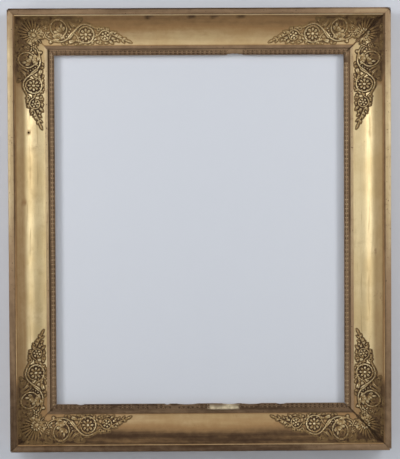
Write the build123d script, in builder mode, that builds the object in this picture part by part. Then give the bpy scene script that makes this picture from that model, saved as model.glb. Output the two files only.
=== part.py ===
from build123d import *
import math
import os

os.makedirs("parts", exist_ok=True)

# An ornate gilded picture frame. A half-lapped base frame carries an edge board, a cove and a sight
# moulding on each side, cast ornament is glued in the corners, and the fittings are on the back.
# X is to the right as seen from the front, Z is up, and Y goes back to the wall, the plane y = 0.
# Left and right are as seen from the front. All sizes are in millimetres.

# The picture that the rebate takes: a canvas of 65 by 54 cm
picture_width = 540
picture_height = 650
picture_clearance = 2
sight_lap = 7

# Base frame: its back stands off the wall, so that the fittings behind it don't touch the wall
base_setback = 8
base_thickness = 15
peg_radius = 4
peg_clearance = 0.05
peg_spacing = 36

# Sight moulding: a lip in front of the picture, a sloping seat, a quirk and a flat fillet
lip_step = 1
lip_thickness = 3
leaf_seat_width = 9
leaf_seat_rise = 3.5
quirk_width = 2.5
quirk_depth = 0.8
fillet_width = 5
fillet_rise = 9.5

# Leaf strip, cast and glued on the sloping seat
strip_margin = 1
strip_edge = 1.2
strip_crown = 2.8

# Cove: one round arc from its foot to its top, with a bead beyond it
cove_width = 50
cove_rise = 38.5
cove_foot = 8.5
bead_radius = 1

# Edge board: stands on the wall and shows a slightly rounded front
edge_thickness = 11.5
edge_rise = 2
edge_camber = 2.2

# Corner joints
mitre_gap = 0.3
key_leg = 36
key_thickness = 3
key_rises = (6, 23)

# Cast ornament. A place is measured from the inner corner of the cove: along the side, then outwards
glue_gap = 0.2
ornament_gap = 0.5
relief_height = 4.5
skin_height = 1.5
ornament_start = 1.5
arm_allowance = 8
stem_width = 4.4
scroll_width = 4
first_scroll = (26, 31.5)
first_scroll_radius = 15
first_flower_orbit = 6
first_flower_petal = 4.2
first_flower_petals = 4
second_scroll = (74.5, 20.5)
second_scroll_radius = 15.5
second_rosette_orbit = 7.2
second_rosette_petal = 3.4
second_rosette_petals = 7
second_rosette_heart = 3.6
third_scroll = (109, 18)
third_scroll_radius = 9
third_bud_radius = 4
knob_place = (97.5, 30.5)
knob_radius = 4.5
near_rosette = (1, 20)
near_rosette_radius = 6
small_rosette = (3, 33)
small_rosette_radius = 4.2
stem_low_point = (28, 7)
stem_end = (58, 16.5)
tip_rib_start = (117, 18)
tip_rib_end = (155.5, 8.5)
tip_rib_width = 2.6
tie_width = 6

# Leaves of the arm: where the middle is, half length, half width and slope in degrees
arm_leaves = (
    ((15, 16), 9, 4.5, -30),
    ((50, 25), 17.5, 4.6, 55),
    ((51, 8.5), 6.5, 3.4, 18),
    ((94.5, 17.5), 9, 4.4, 95),
    ((122.5, 22), 7.5, 3.4, 30),
    ((122.5, 12), 7, 3, -32),
    ((134.5, 16), 7.5, 3.2, 8),
    ((147, 11), 9, 3, -16),
)

# Palmette: a fan of lobes in the corner, on the mitre
palmette_place = 28.3
palmette_heart = 8
palmette_lobes = 13
palmette_spread = 224
palmette_middle_reach = 31
palmette_side_reach = 15
palmette_fall = 4
palmette_lobe_width = 4.4
stalk_reach = 18
stalk_width = 7

# Strap hangers on the side base rails
hanger_drop = 250
strap_width = 12
strap_thickness = 1.2
ring_wire_radius = 1.3
ring_running_gap = 0.06
ring_strap_gap = 0.5
ring_side_gap = 3
ring_shoulder = 3
ring_straight = 4
ring_bow_flat = 2
hanger_screw_gap = 2.3
hanger_screw_pitch = 15
hanger_screw_radius = 1.7
hanger_screw_head = 3.4

# Turn buttons that hold the picture in its rebate
button_inset = 120
button_edge_gap = 9
button_tip_setback = 4
button_boss_radius = 6
button_tip_radius = 3.5
button_thickness = 1.6
button_seat_gap = 0.2
button_head_gap = 0.1
button_running_gap = 0.06
button_screw_radius = 1.6
button_screw_head = 3.2

# Wood screws
screw_cover = 4
screw_point = 3
screw_head_height = 2
screw_pilot_gap = 0.05
screw_slot_width = 0.8
screw_slot_depth = 0.9

# Sizes that follow from the ones above
sight_width = picture_width + 2 * picture_clearance - 2 * sight_lap
sight_height = picture_height + 2 * picture_clearance - 2 * sight_lap
half_sight_width = sight_width / 2
half_sight_height = sight_height / 2
base_front = base_setback + base_thickness
screw_bite = base_thickness - screw_cover
lap_height = base_setback + base_thickness / 2
shoulder_height = base_front - lip_step
lip_front = shoulder_height + lip_thickness
seat_top = lip_front + leaf_seat_rise
fillet_start = leaf_seat_width + quirk_width
fillet_front = base_front + fillet_rise
cove_start = fillet_start + fillet_width
cove_end = cove_start + cove_width
rim_end = cove_end + 2 * bead_radius
profile_width = rim_end + edge_thickness
cove_foot_height = base_front + cove_foot
cove_top = cove_foot_height + cove_rise
edge_crown = cove_top + edge_rise
cove_radius = (cove_width**2 + cove_rise**2) / (2 * cove_rise)
cove_centre = (cove_start, cove_foot_height + cove_radius)
cove_sweep = math.degrees(math.asin(cove_width / cove_radius))
base_width = rim_end - sight_lap
base_middle = (rim_end + sight_lap) / 2
half_outer_width = half_sight_width + profile_width
half_outer_height = half_sight_height + profile_width
knuckle_stand_off = strap_thickness + ring_wire_radius + ring_strap_gap
ring_half_width = strap_width / 2 + ring_side_gap + ring_shoulder
ring_bow = ring_half_width - ring_bow_flat / 2
ring_drop = ring_shoulder + ring_straight + ring_bow
upper_screw_drop = ring_drop + ring_wire_radius + hanger_screw_head + hanger_screw_gap
lower_screw_drop = upper_screw_drop + hanger_screw_pitch
button_pivot = sight_lap + button_boss_radius + button_edge_gap
button_reach = button_pivot - button_tip_setback
arm_reach = tip_rib_end[0] + arm_allowance


def front_plane(height):
    """The plane seen from the front, this far off the wall: local x is X, local y is Z."""
    return Plane.XZ.offset(height)


class Side:
    """One side of the frame: the plane of its section and the planes of its two mitres."""

    def __init__(self, name, outward, along, reach, half_length):
        self.name = name
        self.half_length = half_length
        outward = Vector(*outward)
        along = Vector(*along)
        middle = outward * reach
        self.plane = Plane(origin=middle, x_dir=outward, z_dir=along)
        self.mitres = []
        for end in (along, along * -1):
            normal = (end - outward).normalized()
            corner = middle + end * half_length
            self.mitres.append(Plane(origin=corner - normal * (mitre_gap / 2), z_dir=normal))


top = Side("top", (0, 0, 1), (1, 0, 0), half_sight_height, half_sight_width)
right = Side("right", (1, 0, 0), (0, 0, -1), half_sight_width, half_sight_height)
bottom = Side("bottom", (0, 0, -1), (-1, 0, 0), half_sight_height, half_sight_width)
left = Side("left", (-1, 0, 0), (0, 0, 1), half_sight_width, half_sight_height)
sides = (top, right, bottom, left)
corners = [(across, upright) for upright in (1, -1) for across in (-1, 1)]


def corner_name(across, upright):
    """A corner's name from its signs along X and Z."""
    return f"{'top' if upright > 0 else 'bottom'}_{'right' if across > 0 else 'left'}"


def save(piece, name):
    """Labels a finished piece and writes it as a node of its own."""
    piece.part.label = name
    export_step(piece.part, f"parts/{name}.step")


# Sections of the mouldings, in widths outwards from the sight edge and heights off the wall
def cove_point(radius, angle):
    """A point round the cove's centre, by its angle from straight back towards the outer edge."""
    across = cove_centre[0] + radius * math.sin(math.radians(angle))
    height = cove_centre[1] - radius * math.cos(math.radians(angle))
    return (across, height)


def cove_section(plane):
    with BuildSketch(plane) as section:
        with BuildLine():
            Polyline((cove_start, cove_foot_height), (cove_start, base_front), (rim_end, base_front))
            Line((rim_end, base_front), (rim_end, cove_top))
            ThreePointArc(
                (rim_end, cove_top),
                (cove_end + bead_radius, cove_top + bead_radius),
                (cove_end, cove_top),
            )
            ThreePointArc(
                (cove_end, cove_top),
                cove_point(cove_radius, cove_sweep / 2),
                (cove_start, cove_foot_height),
            )
        make_face()
    return section.sketch


def edge_section(plane):
    shoulder = edge_crown - edge_camber
    with BuildSketch(plane) as section:
        with BuildLine():
            Polyline((rim_end, shoulder), (rim_end, 0), (profile_width, 0), (profile_width, shoulder))
            ThreePointArc(
                (profile_width, shoulder),
                (rim_end + edge_thickness / 2, edge_crown),
                (rim_end, shoulder),
            )
        make_face()
    return section.sketch


def sight_section(plane):
    with BuildSketch(plane) as section:
        with BuildLine():
            Polyline(
                (0, shoulder_height),
                (sight_lap, shoulder_height),
                (sight_lap, base_front),
                (cove_start, base_front),
                (cove_start, fillet_front),
                (fillet_start, fillet_front),
                (fillet_start, seat_top - quirk_depth),
                (leaf_seat_width, seat_top - quirk_depth),
                (leaf_seat_width, seat_top),
                (0, lip_front),
                close=True,
            )
        make_face()
    return section.sketch


def strip_section(plane):
    seat_length = math.hypot(leaf_seat_width, leaf_seat_rise)
    slope = (leaf_seat_width / seat_length, leaf_seat_rise / seat_length)

    def on_seat(along, height):
        return (along * slope[0] - height * slope[1], lip_front + along * slope[1] + height * slope[0])

    near = strip_margin
    far = seat_length - strip_margin / 2
    with BuildSketch(plane) as section:
        with BuildLine():
            Polyline(on_seat(near, strip_edge), on_seat(near, 0), on_seat(far, 0), on_seat(far, strip_edge))
            ThreePointArc(
                on_seat(far, strip_edge),
                on_seat((near + far) / 2, strip_crown),
                on_seat(near, strip_edge),
            )
        make_face()
    return section.sketch


# Keys across the mitres: thin triangles let into the outer corners
with BuildPart() as mitre_keys:
    for rise in key_rises:
        with BuildSketch(front_plane(base_front + rise)):
            for across, upright in corners:
                x = across * half_outer_width
                z = upright * half_outer_height
                Polygon((x, z), (x - across * key_leg, z), (x, z - upright * key_leg), align=None)
        extrude(amount=key_thickness)
save(mitre_keys, "mitre_keys")

# Mouldings, cut at both mitres and slotted for the keys where they reach the outer corners
mouldings = (
    ("cove", cove_section, True),
    ("edge_board", edge_section, True),
    ("sight_moulding", sight_section, False),
    ("leaf_strip", strip_section, False),
)
for kind, section_of, keyed in mouldings:
    for side in sides:
        with BuildPart() as moulding:
            extrude(section_of(side.plane), amount=side.half_length + profile_width, both=True)
            for mitre in side.mitres:
                split(bisect_by=mitre, keep=Keep.BOTTOM)
            if keyed:
                add(mitre_keys.part, mode=Mode.SUBTRACT)
        save(moulding, f"{kind}_{side.name}")

# Places on the back of the base frame
lap_centres = [
    (across * (half_sight_width + base_middle), upright * (half_sight_height + base_middle))
    for across, upright in corners
]
peg_places = []
for (x, z), (across, upright) in zip(lap_centres, corners):
    for step in (-peg_spacing / 2, peg_spacing / 2):
        peg_places.append((x + across * step / math.sqrt(2), z + upright * step / math.sqrt(2)))

# Each turn button: its name, its pivot and the way its tip points when parked beside the rebate
buttons = []
for across, upright in corners:
    x = across * (half_sight_width - button_inset)
    z = upright * (half_sight_height + button_pivot)
    buttons.append((corner_name(across, upright), (x, z), (-across, 0)))
for across in (-1, 1):
    for upright in (1, -1):
        x = across * (half_sight_width + button_pivot)
        z = upright * (half_sight_height - button_inset)
        name = f"{'right' if across > 0 else 'left'}_{'upper' if upright > 0 else 'lower'}"
        buttons.append((name, (x, z), (0, -1)))
button_places = [place for name, place, tip in buttons]

hanger_axis_height = base_setback - knuckle_stand_off
hanger_z = half_outer_height - hanger_drop
hangers = [
    ("left", -(half_sight_width + base_middle)),
    ("right", half_sight_width + base_middle),
]
hanger_screw_places = [
    (x, hanger_z - drop) for name, x in hangers for drop in (upper_screw_drop, lower_screw_drop)
]

# Base frame: the rails lap in front of the stiles
base_pieces = (
    ("base_rail_top", (0, half_sight_height + base_middle), True),
    ("base_rail_bottom", (0, -half_sight_height - base_middle), True),
    ("base_stile_left", (-half_sight_width - base_middle, 0), False),
    ("base_stile_right", (half_sight_width + base_middle, 0), False),
)
for name, middle, is_rail in base_pieces:
    length = 2 * (half_sight_width if is_rail else half_sight_height) + 2 * rim_end
    lap_from = base_setback if is_rail else lap_height
    with BuildPart() as base_piece:
        with BuildSketch(front_plane(base_setback)):
            with Locations(middle):
                Rectangle(length if is_rail else base_width, base_width if is_rail else length)
        extrude(amount=base_thickness)
        with BuildSketch(front_plane(lap_from)):
            with Locations(*lap_centres):
                Rectangle(base_width, base_width)
        extrude(amount=base_thickness / 2, mode=Mode.SUBTRACT)
        with BuildSketch(front_plane(base_setback)):
            with Locations(*peg_places):
                Circle(peg_radius + peg_clearance)
        extrude(amount=base_thickness, mode=Mode.SUBTRACT)
        with BuildSketch(front_plane(base_setback)):
            with Locations(*button_places):
                Circle(button_screw_radius + screw_pilot_gap)
            with Locations(*hanger_screw_places):
                Circle(hanger_screw_radius + screw_pilot_gap)
        extrude(amount=screw_bite, mode=Mode.SUBTRACT)
    save(base_piece, name)

with BuildPart() as lap_pegs:
    with BuildSketch(front_plane(base_setback)):
        with Locations(*peg_places):
            Circle(peg_radius)
    extrude(amount=base_thickness)
save(lap_pegs, "lap_pegs")


def screws(places, seat_height, shank_radius, head_radius):
    """Round-headed slotted wood screws, driven forwards, with their heads on this height."""
    with BuildPart() as group:
        for x, z in places:
            axis_plane = Plane(origin=(x, -seat_height, z), x_dir=(1, 0, 0), z_dir=(0, 0, -1))
            reach = base_setback + screw_bite - seat_height
            with BuildSketch(axis_plane):
                with BuildLine():
                    EllipticalCenterArc((0, 0), head_radius, screw_head_height, start_angle=-90, arc_size=90)
                    Polyline(
                        (head_radius, 0),
                        (shank_radius, 0),
                        (shank_radius, reach - screw_point),
                        (0, reach),
                        (0, -screw_head_height),
                    )
                make_face()
            revolve(axis=Axis((x, 0, z), (0, 1, 0)))
        with BuildSketch(front_plane(seat_height - screw_head_height)):
            with Locations(*places):
                Rectangle(2 * head_radius, screw_slot_width)
        extrude(amount=screw_slot_depth, mode=Mode.SUBTRACT)
    return group


# Strap hangers: a strap with a round lower end, rolled round the straight bar of a D ring
strap_face = base_setback - strap_thickness
knuckle_bore = ring_wire_radius + ring_running_gap
for name, x in hangers:
    with BuildPart() as strap:
        with BuildSketch(front_plane(strap_face)):
            with Locations((x, hanger_z - lower_screw_drop / 2)):
                Rectangle(strap_width, lower_screw_drop)
            with Locations((x, hanger_z - lower_screw_drop)):
                Circle(strap_width / 2)
            with Locations(*hanger_screw_places):
                Circle(hanger_screw_radius + screw_pilot_gap, mode=Mode.SUBTRACT)
        extrude(amount=strap_thickness)
        knuckle_plane = Plane(origin=(x, -hanger_axis_height, hanger_z), x_dir=(0, 1, 0), z_dir=(1, 0, 0))
        with BuildSketch(knuckle_plane):
            Circle(knuckle_bore + strap_thickness)
        extrude(amount=strap_width / 2, both=True)
        with BuildSketch(knuckle_plane):
            Circle(knuckle_bore)
        extrude(amount=strap_width / 2, both=True, mode=Mode.SUBTRACT)
    save(strap, f"hanger_strap_{name}")

    with BuildPart() as ring:
        with BuildLine(front_plane(hanger_axis_height)) as loop:
            FilletPolyline(
                (x - ring_half_width, hanger_z),
                (x + ring_half_width, hanger_z),
                (x + ring_half_width, hanger_z - ring_drop),
                (x - ring_half_width, hanger_z - ring_drop),
                radius=(ring_shoulder, ring_shoulder, ring_bow, ring_bow),
                close=True,
            )
        with BuildSketch(Plane(origin=loop.line @ 0, z_dir=loop.line % 0)):
            Circle(ring_wire_radius)
        sweep()
    save(ring, f"hanger_ring_{name}")

save(screws(hanger_screw_places, strap_face, hanger_screw_radius, hanger_screw_head), "hanger_screws")

# Turn buttons, each on its own screw and parked beside the rebate
button_front = base_setback - button_seat_gap
button_back = button_front - button_thickness
tip_offset = button_reach - button_tip_radius
for name, (x, z), (tip_x, tip_z) in buttons:
    with BuildPart() as button:
        with BuildSketch(front_plane(button_back)):
            with Locations((x, z)):
                Circle(button_boss_radius)
            with Locations((x + tip_x * tip_offset, z + tip_z * tip_offset)):
                Circle(button_tip_radius)
            make_hull()
            with Locations((x, z)):
                Circle(button_screw_radius + button_running_gap, mode=Mode.SUBTRACT)
        extrude(amount=button_thickness)
    save(button, f"turn_button_{name}")

button_screw_seat = button_back - button_head_gap
save(
    screws(button_places, button_screw_seat, button_screw_radius, button_screw_head),
    "turn_button_screws",
)


# Cast ornament of the top left corner, laid on the cove of the top side
def corner_point(place):
    """A place along and outwards from the cove's inner corner at the top left, as X and Z."""
    return (place[0] - half_sight_width - cove_start, place[1] + half_sight_height + cove_start)


def cove_layer(height):
    """A layer of this height that lies on the cove, long enough for an arm and a palmette."""
    outer = cove_radius - glue_gap
    from_angle = math.degrees(math.asin(ornament_start / cove_radius))
    plane = top.plane.offset(-top.half_length - profile_width)
    with BuildSketch(plane) as section:
        with BuildLine():
            back = CenterArc(cove_centre, outer, from_angle - 90, cove_sweep - from_angle)
            front = CenterArc(cove_centre, outer - height, from_angle - 90, cove_sweep - from_angle)
            Line(back @ 0, front @ 0)
            Line(back @ 1, front @ 1)
        make_face()
    with BuildPart() as layer:
        extrude(section.sketch, amount=profile_width - cove_start + arm_reach)
    return layer.part


def scroll(place, radius):
    """A closed scroll, as a band round this place."""
    with BuildSketch(front_plane(0)) as band:
        with Locations(corner_point(place)):
            Circle(radius + scroll_width / 2)
            Circle(radius - scroll_width / 2, mode=Mode.SUBTRACT)
    return band.sketch


def rosette(place, orbit, petal, petals):
    """Round petals on a circle round this place."""
    with BuildSketch(front_plane(0)) as flower:
        with Locations(corner_point(place)):
            with PolarLocations(orbit, petals):
                Circle(petal)
    return flower.sketch


# The palmette lies on both sides of the mitre, so one half is made and mirrored
mitre_line = Plane(origin=(-half_sight_width, 0, half_sight_height), z_dir=(1, 0, 1))
outward_angle = 135


def on_mitre(distance):
    """A place on the mitre, this far from the cove's inner corner."""
    return (-distance / math.sqrt(2), distance / math.sqrt(2))


def palmette_outline(spare):
    """The palmette's heart, lobes and stalk as seen from the front, each made larger by a spare width."""
    heart = on_mitre(palmette_place)
    with BuildSketch(front_plane(0)) as outline:
        with Locations(corner_point(heart)):
            Circle(palmette_heart + spare)
        for lobe in range(palmette_lobes):
            turn = palmette_spread * (lobe / (palmette_lobes - 1) - 1 / 2)
            share = math.cos(math.radians(turn / 2)) ** palmette_fall
            reach = palmette_side_reach + (palmette_middle_reach - palmette_side_reach) * share
            angle = outward_angle + turn
            middle = (
                heart[0] + reach / 2 * math.cos(math.radians(angle)),
                heart[1] + reach / 2 * math.sin(math.radians(angle)),
            )
            with Locations(corner_point(middle)):
                Ellipse(reach / 2 + spare, palmette_lobe_width / 2 + spare, rotation=angle)
        with Locations(corner_point(on_mitre(palmette_place - stalk_reach / 2))):
            Ellipse(stalk_reach / 2 + spare, stalk_width / 2 + spare, rotation=outward_angle)
    return outline.sketch


with BuildPart() as palmette_pattern:
    add(cove_layer(relief_height))
    extrude(palmette_outline(0), amount=edge_crown, mode=Mode.INTERSECT)
    split(bisect_by=mitre_line, keep=Keep.TOP)
    mirror(about=mitre_line)

# The arm: scrolls with flowers in them, a stem, leaves and small rosettes, kept clear of the palmette
scrolls = (
    (first_scroll, first_scroll_radius),
    (second_scroll, second_scroll_radius),
    (third_scroll, third_scroll_radius),
)
discs = (
    (second_scroll, second_rosette_heart),
    (third_scroll, third_bud_radius),
    (knob_place, knob_radius),
    (near_rosette, near_rosette_radius),
    (small_rosette, small_rosette_radius),
)
with BuildSketch(front_plane(0)) as arm_outline:
    for place, radius in scrolls:
        add(scroll(place, radius))
    add(rosette(first_scroll, first_flower_orbit, first_flower_petal, first_flower_petals))
    add(rosette(second_scroll, second_rosette_orbit, second_rosette_petal, second_rosette_petals))
    for place, radius in discs:
        with Locations(corner_point(place)):
            Circle(radius)
    for place, half_length, half_width, slope in arm_leaves:
        with Locations(corner_point(place)):
            Ellipse(half_length, half_width, rotation=slope)
    with BuildLine() as stem:
        ThreePointArc(corner_point(near_rosette), corner_point(stem_low_point), corner_point(stem_end))
    trace(stem.line, line_width=stem_width)
    with BuildLine() as tip_rib:
        Line(corner_point(tip_rib_start), corner_point(tip_rib_end))
    trace(tip_rib.line, line_width=tip_rib_width)
    add(palmette_outline(ornament_gap), mode=Mode.SUBTRACT)

# A thin skin fills the scrolls and ties all the pieces of the arm together behind the relief
tie_places = (
    near_rosette,
    small_rosette,
    first_scroll,
    second_scroll,
    knob_place,
    third_scroll,
    tip_rib_start,
)
with BuildSketch(front_plane(0)) as skin_outline:
    for place, radius in scrolls:
        with Locations(corner_point(place)):
            Circle(radius)
    with BuildLine() as tie:
        Polyline(*[corner_point(place) for place in tie_places])
    trace(tie.line, line_width=tie_width)
    add(palmette_outline(ornament_gap), mode=Mode.SUBTRACT)

with BuildPart() as arm_skin:
    add(cove_layer(skin_height))
    extrude(skin_outline.sketch, amount=edge_crown, mode=Mode.INTERSECT)
with BuildPart() as arm_pattern:
    add(cove_layer(relief_height))
    extrude(arm_outline.sketch, amount=edge_crown, mode=Mode.INTERSECT)
    add(arm_skin.part)

# Copies for the four corners: an arm on the side across, one on the upright side and the palmette
upright_arm = arm_pattern.part.mirror(mitre_line)
for across, upright in corners:
    name = corner_name(across, upright)
    patterns = (
        ("palmette", palmette_pattern.part),
        ("scroll_arm_across", arm_pattern.part),
        ("scroll_arm_upright", upright_arm),
    )
    for kind, pattern in patterns:
        if across > 0:
            pattern = pattern.mirror(Plane.YZ)
        if upright < 0:
            pattern = pattern.mirror(Plane.XY)
        with BuildPart() as ornament:
            add(pattern)
        save(ornament, f"{kind}_{name}")
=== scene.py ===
# %% [markdown]
# # A gilded picture frame
# The CAD model holds every piece of this frame at its real size and place. In this lesson Blender gives it
# its looks: mouldings with a hand-made unevenness, cast ornament in the corners, a strip of small leaves
# round the opening, and finishes of old gold, pine, steel and brass. Nothing of the CAD is moved or
# resized.

# %% Load the frame
import math

import bmesh
import bpy
import numpy as np
from mathutils import Matrix, Vector


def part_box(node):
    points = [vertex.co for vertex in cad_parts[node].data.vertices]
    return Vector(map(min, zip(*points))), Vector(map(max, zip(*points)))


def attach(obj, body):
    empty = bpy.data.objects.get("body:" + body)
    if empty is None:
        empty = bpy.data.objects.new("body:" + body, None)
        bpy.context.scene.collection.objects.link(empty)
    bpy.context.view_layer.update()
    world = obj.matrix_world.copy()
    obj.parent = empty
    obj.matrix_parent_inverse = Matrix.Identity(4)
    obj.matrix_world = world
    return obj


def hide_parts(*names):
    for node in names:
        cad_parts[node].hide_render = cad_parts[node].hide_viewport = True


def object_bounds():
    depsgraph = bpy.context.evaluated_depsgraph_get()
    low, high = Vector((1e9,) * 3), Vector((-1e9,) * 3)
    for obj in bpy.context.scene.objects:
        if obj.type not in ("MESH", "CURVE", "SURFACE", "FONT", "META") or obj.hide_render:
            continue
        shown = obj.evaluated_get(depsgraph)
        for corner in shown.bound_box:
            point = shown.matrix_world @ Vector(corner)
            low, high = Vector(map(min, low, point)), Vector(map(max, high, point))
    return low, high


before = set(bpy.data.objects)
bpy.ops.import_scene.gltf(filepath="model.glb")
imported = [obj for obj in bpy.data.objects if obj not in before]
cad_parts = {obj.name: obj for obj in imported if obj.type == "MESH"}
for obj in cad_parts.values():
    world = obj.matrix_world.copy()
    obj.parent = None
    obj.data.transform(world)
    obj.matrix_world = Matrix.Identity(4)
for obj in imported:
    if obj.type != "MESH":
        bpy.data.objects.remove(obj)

cad_box = [list(corner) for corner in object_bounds()]
print("CAD box in metres:", [[round(value, 4) for value in corner] for corner in cad_box])

# %% [markdown]
# ## The camera
# A frame on a wall is photographed almost straight on, from about two and a half metres, with a long lens
# so that its sides stay parallel. The camera stands a little left of the middle and a little high. Its
# place could be found by eye, but eight corners of the frame fix it exactly, and these values are that fit.

# %% Set the camera
IMAGE_HEIGHT = 459
FOCAL_PIXELS = 1400
SENSOR = 36
CAMERA_PLACE = Vector((-0.0213, -2.5931, 0.0651))
PITCH, YAW, ROLL = (math.radians(turn) for turn in (-1.439, -0.482, -0.283))

bpy.ops.object.camera_add()
camera = bpy.context.object
camera.data.sensor_width = SENSOR
camera.data.lens = FOCAL_PIXELS * SENSOR / IMAGE_HEIGHT
camera.matrix_world = (
    Matrix.Translation(CAMERA_PLACE)
    @ Matrix.Rotation(YAW, 4, "Z")
    @ Matrix.Rotation(math.pi / 2 + PITCH, 4, "X")
    @ Matrix.Rotation(ROLL, 4, "Z")
)
bpy.context.scene.camera = camera
print("camera lens in mm:", round(camera.data.lens, 1))

# %% [markdown]
# ## Colours
# A colour is easiest to name as it looks on a screen, from 0 to 255 a channel. A shader reckons with light
# itself, where what looks half as bright is about a fifth of the light. So each colour is turned linear
# first.

# %% Turn screen colours linear
def shade(red, green, blue):
    """A colour as seen on a screen, 0 to 255 a channel, as the linear values that a shader takes."""
    linear = []
    for level in (red, green, blue):
        part = level / 255
        linear.append(part / 12.92 if part <= 0.04045 else ((part + 0.055) / 1.055) ** 2.4)
    return (*linear, 1)


print("middle grey in linear light:", round(shade(128, 128, 128)[0], 3))

# %% [markdown]
# ## Finishes made of nodes
# Each finish is a material built from nodes, so it has its detail at the real scale and needs no picture
# file. Wiring nodes by hand takes many lines, so a small class keeps the tree and gives each kind of node a
# short call. Patterns read Object coordinates, which here are metres in the frame itself, or values that
# were painted on a piece's points.

# %% A class that wires a finish
class Finish:
    """A material and its node tree, with one short call for each kind of node."""

    def __init__(self, name):
        self.material = bpy.data.materials.new(name)
        self.material.use_nodes = True
        self.tree = self.material.node_tree
        self.shader = self.tree.nodes["Principled BSDF"]
        self.place = self.node("TexCoord").outputs["Object"]

    def node(self, kind, **values):
        """A new shader node, with the inputs of these names set or linked."""
        node = self.tree.nodes.new(f"ShaderNode{kind}")
        for socket, value in values.items():
            self.feed(node.inputs[socket], value)
        return node

    def feed(self, socket, value):
        """Gives a socket a constant, or links it to an output."""
        if isinstance(value, bpy.types.NodeSocket):
            self.tree.links.new(value, socket)
        else:
            socket.default_value = value

    def set(self, socket, value):
        """Gives a socket of the shader a constant, or links it to an output."""
        self.feed(self.shader.inputs[socket], value)

    def stretched(self, scale):
        """Object coordinates, scaled along each axis."""
        return self.node("Mapping", Vector=self.place, Scale=scale).outputs["Vector"]

    def noise(self, scale, detail=3, roughness=0.55, distortion=0, place=None):
        """A cloudy pattern, with about this many clouds to the metre."""
        node = self.node("TexNoise", Scale=scale, Detail=detail, Roughness=roughness, Distortion=distortion)
        self.feed(node.inputs["Vector"], place or self.place)
        return node.outputs["Fac"]

    def step(self, value, low, high, low_out=0.0, high_out=1.0):
        """A smooth step of a value from low to high."""
        node = self.node("MapRange", Value=value)
        node.interpolation_type = "SMOOTHSTEP"
        for socket, level in zip(node.inputs[1:5], (low, high, low_out, high_out)):
            socket.default_value = level
        return node.outputs["Result"]

    def reckon(self, operation, *values):
        """One arithmetic operation, carried through several values."""
        total = values[0]
        for value in values[1:]:
            node = self.node("Math")
            node.operation = operation
            self.feed(node.inputs[0], total)
            self.feed(node.inputs[1], value)
            total = node.outputs["Value"]
        return total

    def times(self, *values):
        return self.reckon("MULTIPLY", *values)

    def plus(self, *values):
        return self.reckon("ADD", *values)

    def most(self, *values):
        """The greatest of several values."""
        return self.reckon("MAXIMUM", *values)

    def mix(self, share, first, second):
        """Two colours, from the first to the second by a share."""
        node = self.node("Mix")
        node.data_type = "RGBA"
        self.feed(node.inputs["Factor"], share)
        self.feed(node.inputs[6], first)
        self.feed(node.inputs[7], second)
        return node.outputs[2]

    def painted(self, name):
        """A value that was painted on the piece's points."""
        node = self.node("Attribute")
        node.attribute_name = name
        return node.outputs["Fac"]

    def rail(self, stretch):
        """Coordinates along and across a rail, squeezed along it so that a pattern draws out into streaks."""
        along = self.reckon("DIVIDE", self.painted("along"), stretch)
        return self.node("CombineXYZ", X=along, Y=self.painted("out")).outputs["Vector"]

    def height(self):
        """How far a point stands off the wall."""
        return self.times(self.node("SeparateXYZ", Vector=self.place).outputs["Y"], -1.0)

    def bump(self, height, distance, strength):
        """Small relief that only the light sees."""
        node = self.node("Bump", Distance=distance, Strength=strength, Height=height)
        self.set("Normal", node.outputs["Normal"])


print("finishes are wired by", [name for name in vars(Finish) if not name.startswith("_")])

# %% [markdown]
# ## Wall and floor
# The frame hangs flat on a pale wall. The wall's sheet stands a little in front of the frame's back, so
# that the shadows round the frame stay narrow. It is made to be seen from its front alone: from behind it
# lets everything through, so the back of the frame shows too. A sheet with a hole would do the same, but
# not from every angle.

# %% Build the wall and the floor
SHEET_SIZE = 6
WALL_PLACE = -0.013
FLOOR_DROP = 1.1
PALE_WALL = shade(207, 210, 217)
PALE_FLOOR = shade(205, 203, 200)
MATT = 0.9


def pale_plane(name, colour, place, turn):
    """A large plain sheet with an even matt finish."""
    bpy.ops.object.select_all(action="DESELECT")
    bpy.ops.mesh.primitive_plane_add(size=SHEET_SIZE, location=place, rotation=turn)
    plane = bpy.context.object
    plane.name = name
    finish = Finish(name)
    finish.set("Base Color", colour)
    finish.set("Roughness", MATT)
    plane.data.materials.append(finish.material)
    return finish


wall_finish = pale_plane("wall", PALE_WALL, (0, WALL_PLACE, SHEET_SIZE / 4), (math.pi / 2, 0, 0))
front_only = wall_finish.node("MixShader", Fac=wall_finish.node("NewGeometry").outputs["Backfacing"])
wall_finish.feed(front_only.inputs[1], wall_finish.shader.outputs["BSDF"])
wall_finish.feed(front_only.inputs[2], wall_finish.node("BsdfTransparent").outputs["BSDF"])
wall_finish.feed(wall_finish.tree.nodes["Material Output"].inputs["Surface"], front_only.outputs["Shader"])
pale_plane("floor", PALE_FLOOR, (0, 0, -FLOOR_DROP), (0, 0, 0))
print("stage: a wall and a floor,", SHEET_SIZE, "m wide")

# %% [markdown]
# ## Light
# Gilding shows what it reflects. A tall soft lamp on either side draws one bright band along the cove on
# the far side, and the top and bottom stay duller. A smaller fill lamp stands nearer the middle on each
# side, a weak lamp straight ahead softens the shadows, and one behind shows the back. Small lamps would
# give hard glints, so all of them are large rectangles.

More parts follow.
